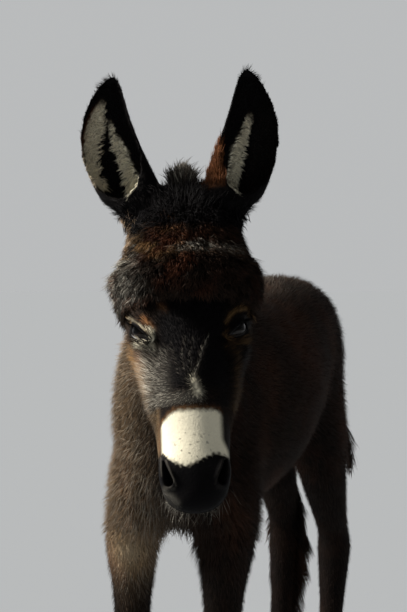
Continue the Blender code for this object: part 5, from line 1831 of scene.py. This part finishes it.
# %% Hair at the foot of each ear
for side, weight, ways, lengths, seed in (
    ("left", rust_foot(middle_points), ear_ways(1)[0], (7, 16), 1500),
    ("right", pale_foot(middle_points), ear_ways(-1)[2] + 0.4 * ear_ways(-1)[1], (8, 14), 1600),
):
    roots, ups = scatter(1400 if side == "left" else 500, weight, seed)
    draw = np.random.default_rng(seed + 1)
    number = len(roots)
    length = 0.001 * draw.uniform(*lengths, number)
    lies = ways + draw.normal(size=(number, 3)) * 0.16
    lines = middle_lines(roots, ups, lies, length, draw.uniform(0.15, 0.55, number),
                         draw.uniform(0.0, 0.35, number), np.full(number, 0.06), 3, seed + 2)
    lines = gather(lines, roots, number // 12, 0.40, seed + 3)
    tufts("ear_foot_hair_" + side, roots, ups, lines, 0.0009 * draw.uniform(0.6, 1.3, number), seed=seed + 4)

# %% Mane
crest = smooth_rows(CREST_ROWS, 10)
crest_line = np.array([row[:3] for row in crest])
crest_height = np.array([row[3] for row in crest])
crest_tree = KDTree(len(crest))
for k, row in enumerate(crest):
    crest_tree.insert(row[:3], k)
crest_tree.balance()


def mane_weight(points):
    near = np.zeros(len(points))
    high = np.flatnonzero((points[:, 2] > 0.66) & (points[:, 1] < -0.07) & (points[:, 1] > -0.36))
    for k in high:
        near[k] = crest_tree.find(points[k])[2]
    inside = np.zeros(len(points))
    inside[high] = near[high] < 0.019
    return inside


roots, ups = scatter(4200, mane_weight(middle_points), 1200)
draw = np.random.default_rng(1201)
number = len(roots)
nearest = np.array([crest_tree.find(root)[1] for root in roots.tolist()])
tall = crest_height[nearest] * draw.uniform(0.70, 1.05, number)
travel = unit(np.gradient(crest_line, axis=0))[nearest]
upright = unit(np.cross(travel, axis["across"]))
off_line = (roots - crest_line[nearest]) @ axis["across"]
lies = upright + travel * draw.uniform(0.0, 0.45, number)[:, None]
lies -= (off_line / 0.04)[:, None] * axis["across"]
lies += draw.normal(size=(number, 3)) * 0.07
share = np.linspace(0, 1, 4)[None, :, None]
lines = roots[:, None] + unit(lies)[:, None] * (tall[:, None, None] * share)
lines[:, 0] -= ups * SUNK
lines = gather(lines, roots, number // 20, 0.40, 1202)
side_up = np.ones((number, 1)) * axis["across"] * np.sign(off_line + 1e-6)[:, None]
tufts("mane", roots, side_up, lines, 0.0013 * draw.uniform(0.6, 1.3, number), seed=1203)

# %% Tail tassel


def tassel_weight(points):
    return on_tail(points) * np.interp(points[:, 2], [0.37, 0.56, 0.60], [1.6, 0.6, 0.0])


roots, ups = scatter(3800, tassel_weight(middle_points), 1300)
draw = np.random.default_rng(1301)
number = len(roots)
line = np.array([row[:3] for row in smooth_rows(TAIL_ROWS, 8)])
level = np.array([np.abs(line[:, 2] - z).argmin() for z in roots[:, 2]])
down = unit(np.gradient(line, axis=0))[level]
length = 0.001 * np.interp(roots[:, 2], [0.38, 0.45, 0.56], [58, 70, 58]) * draw.uniform(0.65, 1.05, number)
lies = down + ups * draw.uniform(0.05, 0.42, number)[:, None] + draw.normal(size=(number, 3)) * 0.06
share = np.linspace(0, 1, 4)[None, :, None]
lines = roots[:, None] + unit(lies)[:, None] * (length[:, None, None] * share)
lines -= ups[:, None] * (length[:, None, None] * 0.10 * share**2)
lines[:, 0] -= ups * SUNK
lines = gather(lines, roots, number // 30, 0.6, 1302)
tufts("tail_tassel", roots, ups, lines, 0.0015 * draw.uniform(0.6, 1.3, number), seed=1303)

# %% [markdown]
# ## Lashes and whiskers
# Long straight lashes stand on the upper lid and shade the eye. Stiff whiskers, a third of a
# millimetre thick here so that they show, grow on the lips and chin.

# %% Lashes
LASHES = 90

for side, sign in SIDES.items():
    draw = np.random.default_rng(1600 + sign)
    looks, longways, shortways = (np.array(way) for way in eye_axes(sign))
    above = -sign * shortways
    angles = draw.uniform(0.35, 2.80, LASHES)
    roots = np.array([lid_line(sign, -sign * angle, 0.0018) for angle in angles])
    length = (0.006 + 0.005 * np.sin(angles)) * draw.uniform(0.7, 1.1, LASHES)
    ways = unit(looks * 0.75 - above * 0.25 + longways * draw.normal(size=(LASHES, 1)) * 0.22)
    share = np.linspace(0, 1, 4)[None, :, None]
    lines = roots[:, None] + ways[:, None] * (length[:, None, None] * share)
    lines += above * (0.25 * length[:, None, None] * share**2)
    ups = np.ones((LASHES, 1)) * above
    tufts("lashes_" + side, roots, ups, lines, 0.00045 * draw.uniform(0.7, 1.2, LASHES), seed=1610 + sign)

# %% Whiskers


def whisker_weight(points):
    along, across, out = head_place(points)
    lips = ramp(along, 0.272, 0.290) * (out < 0.012) * (nostril_gap(along, np.abs(across)) > 0.002)
    return lips * head_share(points)


roots, ups = scatter(260, whisker_weight(middle_points), 1700)
draw = np.random.default_rng(1701)
number = len(roots)
lies = axis["along"] * 0.5 + axis["ahead"] * 0.2 + draw.normal(size=(number, 3)) * 0.25
length = 0.001 * draw.uniform(9, 22, number)
lines = middle_lines(roots, ups, lies, length, draw.uniform(0.5, 1.2, number),
                     draw.uniform(0.1, 0.5, number), np.full(number, 0.03), 4, 1702)
tufts("whiskers", roots, ups, lines, np.full(number, 0.00034), seed=1703)

# %% [markdown]
# ## Light and floor
# The light comes softly from the viewer's left, as in the picture: the left half of the nose
# is lit and the right half lies in shade. A sun lamp with a wide disc lights the whole floor
# evenly. The room is pale behind the foal and dim elsewhere, so that dark hair stays dark. The
# floor's paint is chosen so that it looks as bright as the pale side of the room.

# %% Light and floor
KEY_TURN = math.radians(93)
KEY_HEIGHT = math.radians(36)
KEY_DISC = math.radians(13)
KEY_POWER = 7.8
ROOM_PALE = 0.60
ROOM_DIM = 0.17

key = bpy.data.lights.new("key_lamp", "SUN")
key.energy = KEY_POWER
key.angle = KEY_DISC
key.color = linear("fffaf2")[:3]
key_lamp = bpy.data.objects.new("key_lamp", key)
bpy.context.scene.collection.objects.link(key_lamp)
bearing = math.atan2(-look.y, -look.x) - KEY_TURN
towards = Vector((
    math.cos(bearing) * math.cos(KEY_HEIGHT),
    math.sin(bearing) * math.cos(KEY_HEIGHT),
    math.sin(KEY_HEIGHT),
))
key_lamp.rotation_mode = "QUATERNION"
key_lamp.rotation_quaternion = (-towards).to_track_quat("-Z", "Y")
world = bpy.data.worlds.new("pale_room")
world.use_nodes = True
background = world.node_tree.nodes["Background"]
background.inputs["Color"].default_value = linear("e9ebec")
where = add(world.node_tree, "ShaderNodeTexCoord")
behind = add(world.node_tree, "ShaderNodeVectorMath", {"operation": "DOT_PRODUCT", 1: (look.x, look.y, 0.0)},
             {0: where.outputs["Generated"]})
level = add(world.node_tree, "ShaderNodeMapRange", {1: 0.45, 2: 0.86, 3: ROOM_DIM, 4: ROOM_PALE},
            {0: behind.outputs["Value"]})
world.node_tree.links.new(level.outputs[0], background.inputs["Strength"])
bpy.context.scene.world = world
bpy.context.scene.view_settings.view_transform = "Standard"

builder = bmesh.new()
bmesh.ops.create_circle(builder, cap_ends=True, segments=96, radius=9.0)
floor = object_from("studio_floor", builder)
floor_paint, _, shader = new_material("pale_painted_floor")
shader.inputs["Base Color"].default_value = linear("94989d")
shader.inputs["Roughness"].default_value = 1.0
shader.inputs["Specular IOR Level"].default_value = 0.0
floor.data.materials.append(floor_paint)
print("one soft lamp towards", [round(value, 2) for value in towards], "and a pale floor")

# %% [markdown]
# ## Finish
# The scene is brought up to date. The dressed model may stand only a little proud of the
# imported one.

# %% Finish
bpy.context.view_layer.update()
